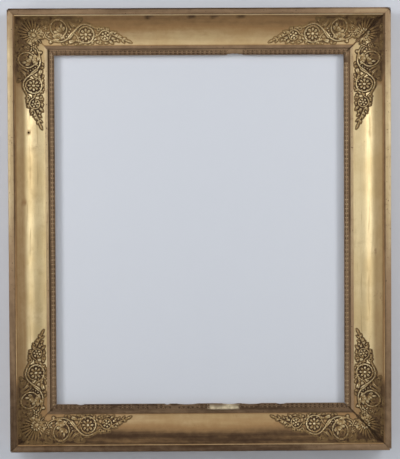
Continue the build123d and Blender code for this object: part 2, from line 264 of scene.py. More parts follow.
# %% Hang the lamps
LAMP_DISTANCE = 1.9
LAMP_TURN, LAMP_RISE, LAMP_SIZE = math.radians(52), 0.4, (0.44, 1.7)
LAMP_POWERS = {"left_lamp": 15.8, "right_lamp": 14.4}
FILL_TURN, FILL_RISE, FILL_SIZE, FILL_POWER = math.radians(33), 0.7, (1.1, 0.5), 7.2
FRONT_LAMP_PLACE, FRONT_LAMP_SIZE, FRONT_LAMP_POWER = (-0.3, -4, 0), (1.8, 1.2), 14
BACK_LAMP_PLACE, BACK_LAMP_SIZE, BACK_LAMP_POWER = (0.9, 2.6, 1.2), (1.5, 1.5), 36
WORLD_COLOUR, WORLD_LIGHT = (0.62, 0.82, 1, 1), 0.1


def soft_lamp(name, place, size, power):
    """A rectangular soft lamp that looks at the middle of the frame."""
    bpy.ops.object.light_add(type="AREA", location=place)
    lamp = bpy.context.object
    lamp.name = name
    lamp.data.shape = "RECTANGLE"
    lamp.data.size, lamp.data.size_y = size
    lamp.data.energy = power
    lamp.rotation_euler = (-Vector(place)).to_track_quat("-Z", "Y").to_euler()


def swung(turn, rise):
    """A place at the lamps' distance, swung about the frame from straight in front."""
    return LAMP_DISTANCE * math.sin(turn), -LAMP_DISTANCE * math.cos(turn), rise


for name, way in (("left_lamp", -1), ("right_lamp", 1)):
    soft_lamp(name, swung(way * LAMP_TURN, LAMP_RISE), LAMP_SIZE, LAMP_POWERS[name])
    soft_lamp(f"{name}_fill", swung(way * FILL_TURN, FILL_RISE), FILL_SIZE, FILL_POWER)
soft_lamp("front_lamp", FRONT_LAMP_PLACE, FRONT_LAMP_SIZE, FRONT_LAMP_POWER)
soft_lamp("back_lamp", BACK_LAMP_PLACE, BACK_LAMP_SIZE, BACK_LAMP_POWER)

world = bpy.data.worlds.new("studio")
world.use_nodes = True
world.node_tree.nodes["Background"].inputs["Color"].default_value = WORLD_COLOUR
world.node_tree.nodes["Background"].inputs["Strength"].default_value = WORLD_LIGHT
bpy.context.scene.world = world
bpy.context.scene.view_settings.view_transform = "Standard"

# %% [markdown]
# ## The moulding's section
# Every side has the same section, from the opening outwards: a lip and a sloping seat for the leaf strip, a
# quirk, a flat fillet, the cove, a thin bead and the edge board. Its main sizes are read from the CAD
# boxes, so what Blender adds lies on the same lines. Widths run outwards from the sight edge and heights
# off the wall.

# %% Read the section from the CAD boxes
MM = 0.001
BEAD_RADIUS = 1 * MM
COVE_FOOT = 8.5 * MM

half_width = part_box("sight_moulding_right")[0].x
half_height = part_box("sight_moulding_top")[0].z
cove_low, cove_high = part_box("cove_right")
cove_start = cove_low.x - half_width
rim_end = cove_high.x - half_width
cove_end = rim_end - 2 * BEAD_RADIUS
base_front = -cove_high.y
cove_foot = base_front + COVE_FOOT
cove_top = -cove_low.y - BEAD_RADIUS
profile_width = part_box("edge_board_right")[1].x - half_width
edge_crown = -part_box("edge_board_right")[0].y
cove_rise = cove_top - cove_foot
cove_radius = ((cove_end - cove_start) ** 2 + cove_rise**2) / (2 * cove_rise)
cove_sweep = math.asin((cove_end - cove_start) / cove_radius)
print("opening in mm:", round(2 * half_width / MM), "by", round(2 * half_height / MM))
print("cove radius in mm:", round(cove_radius / MM, 1), "sweep:", round(math.degrees(cove_sweep), 1))

# %% [markdown]
# The four sides differ only in their directions. A class holds which way is outwards and which way is
# along, so a piece is written once, in widths, lengths and heights, and placed on any side.

# %% The four sides
class Side:
    """One side of the frame: which way is outwards, which way is along, and the corners at its two ends."""

    def __init__(self, name, outward, along, corners):
        self.name = name
        self.outward = Vector(outward)
        self.along = Vector(along)
        self.corners = corners
        self.upright = self.along.z != 0
        self.reach = half_width if self.upright else half_height
        self.half_length = half_height if self.upright else half_width

    def at(self, along, out, height):
        return self.outward * (self.reach + out) + self.along * along - Vector((0, height, 0))

    def mitre(self, end):
        """A point of the mitre at one end, -1 or 1, and the way that the cut faces."""
        return self.at(end * self.half_length, 0, 0), (self.along * end - self.outward).normalized()

    def places(self, points):
        """Along, outwards and height of many points."""
        along = points @ np.array(self.along)
        out = points @ np.array(self.outward) - self.reach
        return along, out, -points[:, 1]


SIDES = (
    Side("top", (0, 0, 1), (1, 0, 0), ("top_left", "top_right")),
    Side("right", (1, 0, 0), (0, 0, -1), ("top_right", "bottom_right")),
    Side("bottom", (0, 0, -1), (-1, 0, 0), ("bottom_right", "bottom_left")),
    Side("left", (-1, 0, 0), (0, 0, 1), ("bottom_left", "top_left")),
)
print("half lengths in mm:", {side.name: round(side.half_length / MM) for side in SIDES})

# %% [markdown]
# Three outlines give the section: the cove with its bead, the edge board with a slightly rounded front, and
# the sight moulding. They could be drawn as curves and given a bevel, but a plain list of points is easier
# to check against the CAD, and it can be extruded step by step.

# %% Draw the outlines
COVE_STEPS, BEAD_STEPS, CAMBER_STEPS = 30, 6, 12
EDGE_CAMBER = 2.2 * MM
SEAT_WIDTH, SEAT_RISE, LIP_THICKNESS = 9 * MM, 3.5 * MM, 3 * MM
QUIRK_WIDTH, QUIRK_DEPTH, SIGHT_LAP = 2.5 * MM, 0.8 * MM, 7 * MM


def arc(centre, radii, start, end, steps):
    """Points on an arc, by its angle in degrees from outwards towards the front."""
    points = []
    for step in range(steps + 1):
        angle = math.radians(start + (end - start) * step / steps)
        points.append((centre[0] + radii[0] * math.cos(angle), centre[1] + radii[1] * math.sin(angle)))
    return points


sweep_degrees = math.degrees(cove_sweep)
cove_centre = (cove_start, cove_foot + cove_radius)
cove_outline = [
    (cove_start, base_front),
    (rim_end, base_front),
    *arc((rim_end - BEAD_RADIUS, cove_top), (BEAD_RADIUS, BEAD_RADIUS), 0, 180, BEAD_STEPS),
    *arc(cove_centre, (cove_radius, cove_radius), sweep_degrees - 90, -90, COVE_STEPS)[1:],
]
edge_middle = (rim_end + profile_width) / 2
edge_half = (profile_width - rim_end) / 2
edge_outline = [
    (rim_end, 0),
    (profile_width, 0),
    *arc((edge_middle, edge_crown - EDGE_CAMBER), (edge_half, EDGE_CAMBER), 0, 180, CAMBER_STEPS),
]
shoulder = -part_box("sight_moulding_top")[1].y
fillet_front = -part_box("sight_moulding_top")[0].y
lip_front = shoulder + LIP_THICKNESS
seat_top = lip_front + SEAT_RISE
fillet_start = SEAT_WIDTH + QUIRK_WIDTH
sight_outline = [
    (0, shoulder),
    (SIGHT_LAP, shoulder),
    (SIGHT_LAP, base_front),
    (cove_start, base_front),
    (cove_start, fillet_front),
    (fillet_start, fillet_front),
    (fillet_start, seat_top - QUIRK_DEPTH),
    (SEAT_WIDTH, seat_top - QUIRK_DEPTH),
    (SEAT_WIDTH, seat_top),
    (0, lip_front),
]
print("points in the outlines:", len(cove_outline), len(edge_outline), len(sight_outline))

# %% [markdown]
# ## Working in edit mode
# Edit mode works on what is selected. By hand the mouse selects. In a script, edges are picked by a test of
# their place or length. Three short helpers take the steps that come again and again: pick edges, cut
# everything by a plane, and turn all faces outwards.

# %% Helpers for edit mode
def pick(mesh, test):
    """Selects in edit mode only the edges that pass a test."""
    bpy.ops.mesh.select_mode(type="EDGE")
    bpy.ops.mesh.select_all(action="DESELECT")
    for edge in mesh.edges:
        edge.select_set(test(edge))
    mesh.select_flush_mode()


def bisect(place, normal, **settings):
    """Cuts all that is being edited by a plane."""
    bpy.ops.mesh.select_all(action="SELECT")
    bpy.ops.mesh.bisect(plane_co=place, plane_no=normal, **settings)


def face_outwards():
    """Turns every face of what is being edited outwards and leaves edit mode."""
    bpy.ops.mesh.select_all(action="SELECT")
    bpy.ops.mesh.normals_make_consistent(inside=False)
    bpy.ops.object.mode_set(mode="OBJECT")


print("helpers for edit mode:", pick.__name__, bisect.__name__, face_outwards.__name__)

# %% [markdown]
# ## Pulling a moulding
# A joiner runs a moulding by pushing a shaped plane along a board, then cuts both ends at 45 degrees. By
# hand in Blender the same bar is one long edge, extruded again and again through the section until it meets
# its start, and cut by two bisects. The glued mitres have opened a little with age, so each cut leaves half
# a gap.

# %% Pull a bar and cut its mitres
MITRE_GAPS = {"top_left": 0.3 * MM, "top_right": 0.4 * MM, "bottom_right": 0.9 * MM, "bottom_left": 0.7 * MM}
RING_SPACING = 6 * MM
MITRE_LINE = 1.5 * MM
BAR_SPARE = 2 * MM
SAME_POINT = 1e-6


def pull_moulding(name, side, outline):
    """A bar pulled through an outline of widths and heights, closed and cut at both mitres."""
    reach = side.half_length + profile_width + BAR_SPARE
    bpy.ops.object.select_all(action="DESELECT")
    bpy.ops.mesh.primitive_plane_add(size=1)
    bar = bpy.context.object
    bar.name = name
    bpy.ops.object.mode_set(mode="EDIT")
    mesh = bmesh.from_edit_mesh(bar.data)
    mesh.verts.ensure_lookup_table()
    for vert, point, end in zip(mesh.verts, (0, 0, 1, 1), (-reach, reach) * 2):
        vert.co = side.at(end, *outline[point])
    far = {mesh.verts[2], mesh.verts[3]}
    pick(mesh, lambda edge: set(edge.verts) == far)
    for before, after in zip(outline[1:], outline[2:] + outline[:1]):
        step = side.at(0, *after) - side.at(0, *before)
        bpy.ops.mesh.extrude_edges_move(TRANSFORM_OT_translate={"value": step})
    bpy.ops.mesh.select_all(action="SELECT")
    bpy.ops.mesh.remove_doubles(threshold=SAME_POINT)
    mesh = bmesh.from_edit_mesh(bar.data)
    pick(mesh, lambda edge: edge.calc_length() > reach)
    bpy.ops.mesh.subdivide(number_cuts=round(2 * reach / RING_SPACING))
    for end, corner in zip((-1, 1), side.corners):
        place, normal = side.mitre(end)
        place = place - normal * MITRE_GAPS[corner] / 2
        bisect(place, normal, use_fill=True, clear_outer=True)
        bisect(place - normal * MITRE_LINE, normal)
    face_outwards()
    return bar


print("mitre gaps in mm:", {corner: round(gap / MM, 2) for corner, gap in MITRE_GAPS.items()})

# %% [markdown]
# The bars then need modifiers and cutters. A modifier is added and applied at once, as by hand. A soft
# cloud texture pushes the faces in and out by a tenth of a millimetre or two, because gesso laid by hand is
# never quite straight. Points can also be moved as one array, which is quicker than one at a time.

# %% Tools to shape a piece
CLOUD_SIZE = 0.045
cloud = bpy.data.textures.new("hand_laid_gesso", "CLOUDS")
cloud.noise_scale = CLOUD_SIZE


def take(piece):
    """Selects one piece alone and makes it active."""
    bpy.ops.object.select_all(action="DESELECT")
    bpy.context.view_layer.objects.active = piece
    piece.select_set(True)


def apply_modifier(piece, kind, **settings):
    """Adds a modifier with these settings to a piece and applies it."""
    take(piece)
    bpy.ops.object.modifier_add(type=kind)
    modifier = piece.modifiers[-1]
    for setting, value in settings.items():
        setattr(modifier, setting, value)
    bpy.ops.object.modifier_apply(modifier=modifier.name)


def cut(piece, cutter):
    """Takes a cutter's shape out of a piece."""
    apply_modifier(piece, "BOOLEAN", operation="DIFFERENCE", object=cutter, solver="EXACT")
    bpy.data.objects.remove(cutter)


def points_of(piece):
    """A piece's points as an array."""
    points = np.empty(len(piece.data.vertices) * 3)
    piece.data.vertices.foreach_get("co", points)
    return points.reshape(-1, 3)


def move_points(piece, points):
    """Puts a piece's points where an array says, but never outside the CAD box."""
    kept = np.clip(points, *np.array(cad_box))
    piece.data.vertices.foreach_set("co", kept.ravel())
    piece.data.update()


print("a hand's unevenness has waves of", round(CLOUD_SIZE / MM), "mm")

# %% [markdown]
# Dirt and wear are painted as one value for each point. A finish can read it, and unlike a painted picture
# it needs no file. A piece that is done takes its finish, says which body it rides on, and stands for its
# CAD node.

# %% Tools to paint and settle a piece
def paint(piece, name, values):
    """Keeps one value for each point of a piece, for its finish to read."""
    layer = piece.data.attributes.new(name, "FLOAT", "POINT")
    layer.data.foreach_set("value", np.clip(values, 0, 1).astype(np.float32))


def blend(values, low, high):
    """A smooth step from 0 at low to 1 at high, for an array."""
    share = np.clip((values - low) / (high - low), 0, 1)
    return share * share * (3 - 2 * share)


def smooth(piece, degrees):
    """Smooth shading, with a crease where faces meet at more than this angle."""
    take(piece)
    bpy.ops.object.shade_smooth_by_angle(angle=math.radians(degrees))


def settle(piece, slot, finish, *nodes):
    """A finished piece takes its finish, rides on the frame and stands for these CAD nodes."""
    piece.data.materials.clear()
    piece.data.materials.append(finish.material)
    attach(piece, "frame")
    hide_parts(*nodes)


print("a step from 0 to 1, at a quarter of the way:", round(float(blend(np.array(0.25), 0, 1)), 3))

# %% [markdown]
# ## Old gilding
# Gold leaf lies on red clay, called bole, over white gesso on pine. Long dusting rubs the leaf thin on high
# places, so the bole shows through. Two tones of gold, mixed by cloudy noise, look more like leaf than one
# even colour. A piece's painted values steer the rest: rub, for leaf worn bright and for painted highlights,
# and worn, for leaf worn through.

# %% Gold leaf and bole
GOLD_BRIGHT = shade(229, 208, 162)
GOLD_DEEP = shade(212, 187, 138)
GOLD_RUBBED = shade(244, 229, 190)
BOLE, BOLE_SHARE = shade(118, 72, 48), 0.55


def gold_leaf(finish, hand, thumb, rub, wear):
    """Gold in two tones, brighter where it is rubbed and where a highlight is painted, with bole where the
    leaf is worn through.
    """
    gold = finish.mix(finish.step(hand, 0.35, 0.66), GOLD_DEEP, GOLD_BRIGHT)
    gold = finish.mix(rub, gold, GOLD_RUBBED)
    thin = finish.step(thumb, 0.68 - wear, 0.80 - wear)
    patches = finish.noise(19, detail=6, roughness=0.68, distortion=0.5)
    patch = finish.step(patches, 0.66 - wear, 0.74 - wear)
    worn = finish.most(thin, patch, finish.painted("worn"))
    return finish.mix(finish.times(worn, BOLE_SHARE), gold, BOLE)


print("bright gold in linear light:", [round(value, 2) for value in GOLD_BRIGHT[:3]])

# %% [markdown]
# Dirt lies over the gold: a cloudy film, fine specks, small pits, streaks that a cloth has drawn along the
# rail, and what the painted value grime says has settled, which on the gilding also holds painted shade.
# They could be added up, but then they soon turn black together. The greatest of them is taken instead.

# %% Dirt over the gold
DRIFT_STRETCH, STREAK_STRETCH = 9, 14


def dirt_cover(finish, thumb, grain, film, wear, dirt):
    """How far dirt and painted shade cover the gold: a film, specks, what has settled, streaks along the rail
    and pits.
    """
    specks = finish.times(finish.step(grain, 0.55, 0.75), dirt)
    drift = finish.noise(45, detail=5, place=finish.rail(DRIFT_STRETCH))
    uneven = finish.plus(finish.times(thumb, 0.4), drift, 0.3)
    settled_and_shade = finish.times(finish.painted("grime"), uneven)
    streaks = finish.step(finish.noise(150, detail=4, place=finish.rail(STREAK_STRETCH)), 0.5, 0.72)
    streaks = finish.times(streaks, 1.2 * dirt)
    pits = finish.step(finish.noise(300, detail=2), 0.78 - 1.6 * wear, 0.84 - 1.6 * wear, 0, 0.9)
    return finish.most(film, specks, settled_and_shade, streaks, pits)


print("streaks are drawn out", STREAK_STRETCH, "times along a rail")

# %% [markdown]
# The whole finish mixes gold and dirt with noise at the scale of a hand, a thumb and a grain. A little dirt
# tones the gold, and more of it covers the gold and takes its gloss; the painted shade that shares the
# painted value grime does the same. Where the painted value loss says so, bare gesso shows. Low down the
# leaf ends in an ochre wash and then in bare wood. One function serves every gilded piece, so that all of
# them look like the work of one shop.

# %% The gilded finishes
WARM_TONE = shade(160, 125, 83)
OLIVE_TONE = shade(146, 117, 74)
DUSTY_TONE = shade(150, 122, 92)
DIRT_AND_SHADE_COLOUR = shade(66, 46, 28)
OCHRE = shade(150, 112, 66)
GESSO = shade(222, 206, 172)
PINE = shade(186, 150, 106)
HAND, THUMB, GRAIN = 11, 70, 900
WASH_FADE, BARE_FADE = 6 * MM, 0.3 * MM
SHEEN, DIRT_DULLS, RUB_POLISHES = 0.25, 0.35, 0.14
LEAF_BUMP, BUMP_STRENGTH = 0.25 * MM, 0.5


def gilding(name, tone, lustre, roughness, wear, dirt, wash_below, bare_below):
    """Old gold leaf, metallic by its lustre. Wear shows bole, dirt lays a film that, with the painted shade,
    first tones the gold and then covers it, and low down it is washed or bare."""
    finish = Finish(name)
    hand = finish.noise(HAND, detail=4)
    thumb = finish.noise(THUMB, detail=5, roughness=0.62, distortion=0.3)
    grain = finish.noise(GRAIN, detail=2)
    loss = finish.times(finish.painted("loss"), finish.step(thumb, 0.38, 0.56, 0.5, 1))
    rub = finish.times(finish.painted("rub"), finish.step(finish.noise(38, detail=5), 0.36, 0.6, 0.35, 1))
    film = finish.times(finish.step(finish.noise(24, detail=6, roughness=0.7), 0.42, 0.75), dirt)
    gold = gold_leaf(finish, hand, thumb, rub, wear)
    cover = dirt_cover(finish, thumb, grain, film, wear, dirt)
    height = finish.height()
    washed = finish.step(height, wash_below, wash_below - WASH_FADE)
    bare = finish.step(height, bare_below, bare_below - BARE_FADE)
    dull = finish.most(cover, loss, washed)
    toned = finish.mix(finish.step(cover, 0, 0.5), gold, tone)
    colour = finish.mix(finish.step(cover, 0.4, 1), toned, DIRT_AND_SHADE_COLOUR)
    colour = finish.mix(washed, colour, finish.mix(film, OCHRE, DIRT_AND_SHADE_COLOUR))
    colour = finish.mix(loss, colour, finish.mix(film, GESSO, OCHRE))
    finish.set("Base Color", finish.mix(bare, colour, finish.mix(hand, PINE, OCHRE)))
    finish.set("Metallic", finish.step(dull, 0.0, 0.9, lustre, 0.0))
    finish.set("Specular IOR Level", SHEEN)
    burnish = finish.step(thumb, 0.3, 0.8, roughness - 0.06, roughness + 0.08)
    burnish = finish.reckon("SUBTRACT", burnish, finish.times(rub, RUB_POLISHES))
    finish.set("Roughness", finish.plus(finish.times(dull, DIRT_DULLS), burnish))
    finish.bump(finish.plus(thumb, finish.times(grain, 0.25)), LEAF_BUMP, BUMP_STRENGTH)
    return finish


cove_finish = gilding(
    "gilded_cove_finish", WARM_TONE, lustre=0.7, roughness=0.42, wear=0.02, dirt=0.2,
    wash_below=base_front, bare_below=base_front + 0.5 * MM,
)
edge_finish = gilding(
    "gilded_edge_finish", DUSTY_TONE, lustre=0.4, roughness=0.55, wear=0.07, dirt=0.30,
    wash_below=edge_crown - 7 * MM, bare_below=1 * MM,
)
sight_finish = gilding(
    "gilded_sight_finish", DUSTY_TONE, lustre=0.55, roughness=0.45, wear=0.08, dirt=0.35,
    wash_below=shoulder, bare_below=shoulder + 0.5 * MM,
)
print("gilded finishes:", cove_finish.material.name, edge_finish.material.name, sight_finish.material.name)

# %% [markdown]
# ## Coves
# The cove is the wide hollow of the frame. Dirt lies on it in layers: under the bead, along the foot, in
# the open mitres, as a film towards the corners, and most of all in the pockets behind the ornament, where
# no duster reaches. The steep outer part is painted darker, most at the top and bottom, partly dirt and
# partly painted shade. Each layer is a smooth step in widths and lengths, and a point takes the strongest.
# A few smudges mark single sides. Noise alone would put the dirt anywhere, so its places are planned.

# %% Plan the dirt and painted shade on the coves
MITRE_SOIL = {"top_left": 0.6, "top_right": 0.95, "bottom_right": 0.95, "bottom_left": 0.75}
COVE_SOIL_AND_SHADE = {"top": (0.6, 26, 63), "right": (0.2, 47, 56), "bottom": (0.86, 29, 57), "left": (0.3, 47, 56)}
# The foot of the top and bottom coves is painted darker: partly dirt, partly painted shade.
FOOT_SOIL_AND_SHADE = {"top": 0.26, "right": 0, "bottom": 0.34, "left": 0}
CORNER_FILM = {"top_left": 0.26, "top_right": 0.2, "bottom_right": 0.46, "bottom_left": 0.5}
FILM_START, FILM_END = -58 * MM, -12 * MM
POCKET_START, POCKET_END, POCKET_SOIL = 34 * MM, 74 * MM, 0.8
POCKET_INNER, POCKET_OUTER = 38 * MM, 52 * MM
FOOT_LINE_SOIL, UNDER_BEAD_SOIL, SIDE_BEAD_SHADE, SIDE_LOW_SHADE = 0.62, 0.5, 0.7, 0.08
LOW_START, LOW_END = 0.11, -0.33
SMUDGE_LENGTH, SMUDGE_WIDTH = 12, 9
SMUDGES = {
    "top": ((-92, 0, 1, 0.85), (-15, 0, 1, 0.85), (26, 0, 1, 0.85), (75, 0, 1, 0.85)),
    "left": ((54, 12, 0.8, 0.42),),
}


def low_down(points):
    """How far down the frame each point lies: 0 in the upper half, 1 near the bottom."""
    return blend(points[:, 2], LOW_START, LOW_END)


def mitre_soil(side, along, out):
    """Grime in the open mitres at both ends of a side."""
    line = blend(np.abs(side.half_length - np.abs(along) + out), 1.4 * MITRE_LINE, 0.5 * MITRE_LINE)
    first, second = (MITRE_SOIL[corner] for corner in side.corners)
    return line * np.where(along < 0, first, second)


def bead_share(out):
    """1 on the thin bead, 0 on the cove."""
    return blend(out, cove_end - 0.2 * MM, cove_end + 0.2 * MM)


def cove_layers(side, points):
    """The layers of dirt and painted shade on one cove, each with a value for every point."""
    along, out, height = side.places(points)
    bead, low = bead_share(out), low_down(points)
    most, start, end = COVE_SOIL_AND_SHADE[side.name]
    foot = FOOT_SOIL_AND_SHADE[side.name]
    # The steep outer part is painted darker, more at the top and bottom: partly dirt, partly painted shade.
    soil = foot + (most - foot) * blend(out, start * MM, end * MM) * (1 - bead)
    near = side.half_length - np.abs(along)
    pocket = blend(near, POCKET_END, POCKET_START) * blend(out, POCKET_INNER, POCKET_OUTER)
    under_bead = blend(out, cove_end - 4 * MM, cove_end - 0.5 * MM) * blend(out, cove_end + 1 * MM, cove_end)
    layers = [mitre_soil(side, along, out), UNDER_BEAD_SOIL * under_bead]
    # On the uprights the cove is painted darker towards the bottom, as painted shade, and the bead is painted
    # dark as shade.
    if side.upright:
        layers += [soil + SIDE_LOW_SHADE * low, POCKET_SOIL * pocket, SIDE_BEAD_SHADE * bead * (1 - 0.6 * low)]
    else:
        foot_line = blend(out, cove_start + 1.8 * MM, cove_start + 0.4 * MM)
        layers += [soil, POCKET_SOIL * pocket * (1 - bead), FOOT_LINE_SOIL * foot_line]
    for end, corner in zip((-1, 1), side.corners):
        layers.append(CORNER_FILM[corner] * blend(end * along - side.half_length, FILM_START, FILM_END))
    for spot, inset, size, darkest in SMUDGES.get(side.name, ()):
        across = (out - cove_end + inset * MM) / SMUDGE_WIDTH
        spread = np.hypot((along - spot * MM) / SMUDGE_LENGTH, across) / (size * MM)
        layers.append(darkest * blend(spread, 1, 0.4) * (out < cove_end))
    return layers


print("smudges:", {name: len(spots) for name, spots in SMUDGES.items()})

# %% [markdown]
# Each cove is pulled from its outline, pushed a little uneven and painted with its layers. The bead at the
# top and bottom is painted bright, a painted highlight, and on the uprights it is painted dark as shade.
# One cove has a nail hole. Paint alone would stay flat from the side, so a Boolean takes out a cylinder
# that stands square to the curve, as a drill would.

# %% Make the coves
COVE_UNEVEN = 0.5 * MM
NAIL_HOLE = {"side": "left", "along": 178.8 * MM, "out": 45.4 * MM, "radius": 2 * MM}
HOLE_RIM_SOIL = 0.3
BEAD_HIGHLIGHT = {"top": 0.9, "bottom": 0.4}
MOULDING_CREASE = 40


def cove_height(out):
    """Height of the cove's face at a place outwards."""
    return cove_foot + cove_radius - math.sqrt(cove_radius**2 - (out - cove_start) ** 2)


def drill(side, along, out, radius):
    """A cylinder that stands square to the cove."""
    lean = (out - cove_start) / cove_radius
    face = -side.outward * lean - Vector((0, math.sqrt(1 - lean**2), 0))
    bpy.ops.object.select_all(action="DESELECT")
    bpy.ops.mesh.primitive_cylinder_add(vertices=20, radius=radius, depth=8 * radius)
    drill_bit = bpy.context.object
    place = Matrix.Translation(side.at(along, out, cove_height(out)))
    drill_bit.data.transform(place @ face.to_track_quat("Z", "Y").to_matrix().to_4x4())
    return drill_bit


def hole_soil(side, points):
    """Dirt in the nail hole: full at its bottom and faint at its rim."""
    along, out, height = side.places(points)
    gap = np.hypot(along - NAIL_HOLE["along"], out - NAIL_HOLE["out"])
    sunk = blend(cove_height(NAIL_HOLE["out"]) - height, 2 * MM, 4 * MM)
    return np.maximum(HOLE_RIM_SOIL, sunk) * (gap < 2 * NAIL_HOLE["radius"])


def ruled(piece, side):
    """Paints where each point lies along and across its rail, for streaks that follow the rail."""
    along, out, height = side.places(points_of(piece))
    paint(piece, "along", along + 0.5)
    paint(piece, "out", out + height)


for side in SIDES:
    cove = pull_moulding(f"gilded_cove_{side.name}", side, cove_outline)
    apply_modifier(cove, "DISPLACE", texture=cloud, strength=COVE_UNEVEN, mid_level=0.5)
    move_points(cove, points_of(cove))
    holed = side.name == NAIL_HOLE["side"]
    if holed:
        cut(cove, drill(side, NAIL_HOLE["along"], NAIL_HOLE["out"], NAIL_HOLE["radius"]))
    points = points_of(cove)
    layers = cove_layers(side, points) + ([hole_soil(side, points)] if holed else [])
    paint(cove, "grime", np.maximum.reduce(layers))
    ruled(cove, side)
    # The bead at the top and bottom is painted bright: a painted highlight.
    paint(cove, "rub", BEAD_HIGHLIGHT.get(side.name, 0) * bead_share(side.places(points)[1]))
    smooth(cove, MOULDING_CREASE)
    settle(cove, "gilded_cove", cove_finish, f"cove_{side.name}")
    print(cove.name, len(cove.data.polygons), "faces")

# %% [markdown]
# ## Edge boards
# The edge board stands outside the cove. Its front is darker at the top and bottom, partly dust and partly
# painted shade, dirtier towards the lower ends of its sides, and cleaner at the right-hand ends, where a
# cloth has passed. The dust and shade are planned by place, as on the coves.

# %% Plan the dust and painted shade on the edge boards
EDGE_SOIL_AND_SHADE = {"top": 0.65, "right": 0.2, "bottom": 0.86, "left": 0.26}
LOW_SOIL = {"top": 0, "right": 0.58, "bottom": 0, "left": 0.6}
END_SOIL, END_HEIGHT = {"left": (0.15, 0.3), "right": (0.2, 0.17)}, 0.37
TOP_RIM_SHADE = 0.3
DUSTED_RIGHT, DUSTED_SHARE = {"top": (0.17, 0.3), "bottom": (0.15, 0.36)}, 0.25


def front_soil(side, points, out):
    """Dust and painted shade on the front of an edge board, by its place on the frame."""
    soil = EDGE_SOIL_AND_SHADE[side.name] + LOW_SOIL[side.name] * low_down(points)
    if side.name in END_SOIL:
        most, start = END_SOIL[side.name]
        soil = soil + most * blend(points[:, 2], start, END_HEIGHT)
    # The top board's outer rim faces up to the lamps and is painted darker: painted shade.
    if side.name == "top":
        soil = soil + TOP_RIM_SHADE * blend(out, profile_width - 4 * MM, profile_width - 1 * MM)
    if side.name in DUSTED_RIGHT:
        soil = soil - DUSTED_SHARE * blend(points[:, 0], *DUSTED_RIGHT[side.name])
    return soil


# These values are dust and painted shade together.
print("dust on the boards' fronts:", EDGE_SOIL_AND_SHADE)

# %% [markdown]
# The board takes the knocks. Its outer corners are broken off with an uneven ball as a cutter, which looks
# more like a real break than a clean bevel. It is darker where it meets the bead, partly dirt and partly
# painted shade, and worn to the bole in two places. A fine split near one end is painted on, because it is
# too narrow for its depth to show.

# %% Make the edge boards
EDGE_UNEVEN = 0.4 * MM
KNOCKED = {"top_left": (2.8, 5), "top_right": (6, 0.8), "bottom_right": (3.4, 5), "bottom_left": (2, 5)}
KNOCK_SOIL_HIGH, KNOCK_SOIL_LOW = 1, 0.5
WORN_SPANS = {"right": (258 * MM, 284 * MM), "bottom": (-243 * MM, -206 * MM)}
WORN_FADE, WORN_DEPTH = 5 * MM, 1.4
SPLIT = {"side": "right", "along": 365 * MM, "width": 1.6 * MM, "soil": 0.95}
INNER_SOIL_AND_SHADE, WALL_SOIL, EDGE_RUB = 0.75, 0.5, 0.5


def rough_ball(place, radius, stretch=(1, 1, 1)):
    """A ball of uneven shape, to knock a piece out of an edge."""
    bpy.ops.object.select_all(action="DESELECT")
    bpy.ops.mesh.primitive_ico_sphere_add(subdivisions=2, radius=radius)
    ball = bpy.context.object
    apply_modifier(ball, "DISPLACE", texture=cloud, strength=0.5 * radius, mid_level=0.5)
    ball.data.transform(Matrix.Translation(place) @ Matrix.Diagonal((*stretch, 1)))
    return ball


for side in SIDES:
    board = pull_moulding(f"gilded_edge_board_{side.name}", side, edge_outline)
    apply_modifier(board, "DISPLACE", texture=cloud, strength=EDGE_UNEVEN, mid_level=0.5)
    move_points(board, points_of(board))
    board_end = side.half_length + profile_width
    for end, corner in zip((-1, 1), side.corners):
        radius, depth = KNOCKED[corner]
        tip = side.at(end * board_end, profile_width, edge_crown - EDGE_CAMBER)
        cut(board, rough_ball(tip, radius * MM, (1, depth, 1)))
    points = points_of(board)
    along, out, height = side.places(points)
    inner = blend(out, rim_end + 2.2 * MM, rim_end + 0.4 * MM)
    side_wall = blend(height, edge_crown - 3 * MM, edge_crown - 9 * MM)
    corner_gap = np.hypot(np.abs(along) - board_end, out - profile_width)
    knock = np.where(points[:, 2] > 0, KNOCK_SOIL_HIGH, KNOCK_SOIL_LOW) * blend(corner_gap, 8 * MM, 5.5 * MM)
    layers = [INNER_SOIL_AND_SHADE * inner, WALL_SOIL * side_wall, knock, front_soil(side, points, out)]
    if side.name == SPLIT["side"]:
        layers.append(SPLIT["soil"] * blend(np.abs(along - SPLIT["along"]), SPLIT["width"], 0))
    paint(board, "grime", np.maximum.reduce(layers))
    if side.name in WORN_SPANS:
        low, high = WORN_SPANS[side.name]
        span = blend(along, low, low + WORN_FADE) * blend(along, high, high - WORN_FADE)
        paint(board, "worn", WORN_DEPTH * span)
    ruled(board, side)
    paint(board, "rub", EDGE_RUB * blend(out, rim_end + 5 * MM, profile_width - 2 * MM) * (1 - side_wall))
    smooth(board, MOULDING_CREASE)
    settle(board, "gilded_edge", edge_finish, f"edge_board_{side.name}")
    print(board.name, len(board.data.polygons), "faces")

# %% [markdown]
# ## Sight mouldings
# The sight moulding frames the opening: a lip that holds the picture, a seat for the leaves, a quirk and a
# fillet. Here leaves are missing in places, which shows the seat, dark with dirt or pale where the gesso is
# bare. The lip is chipped right through at the top and along the bottom, so its edge waves. Balls stretched
# along the lip cut the chips, which is quicker than picking edges apart by hand.

# %% Make the sight mouldings
SIGHT_UNEVEN, SIGHT_BEVEL = 0.3 * MM, 0.35 * MM
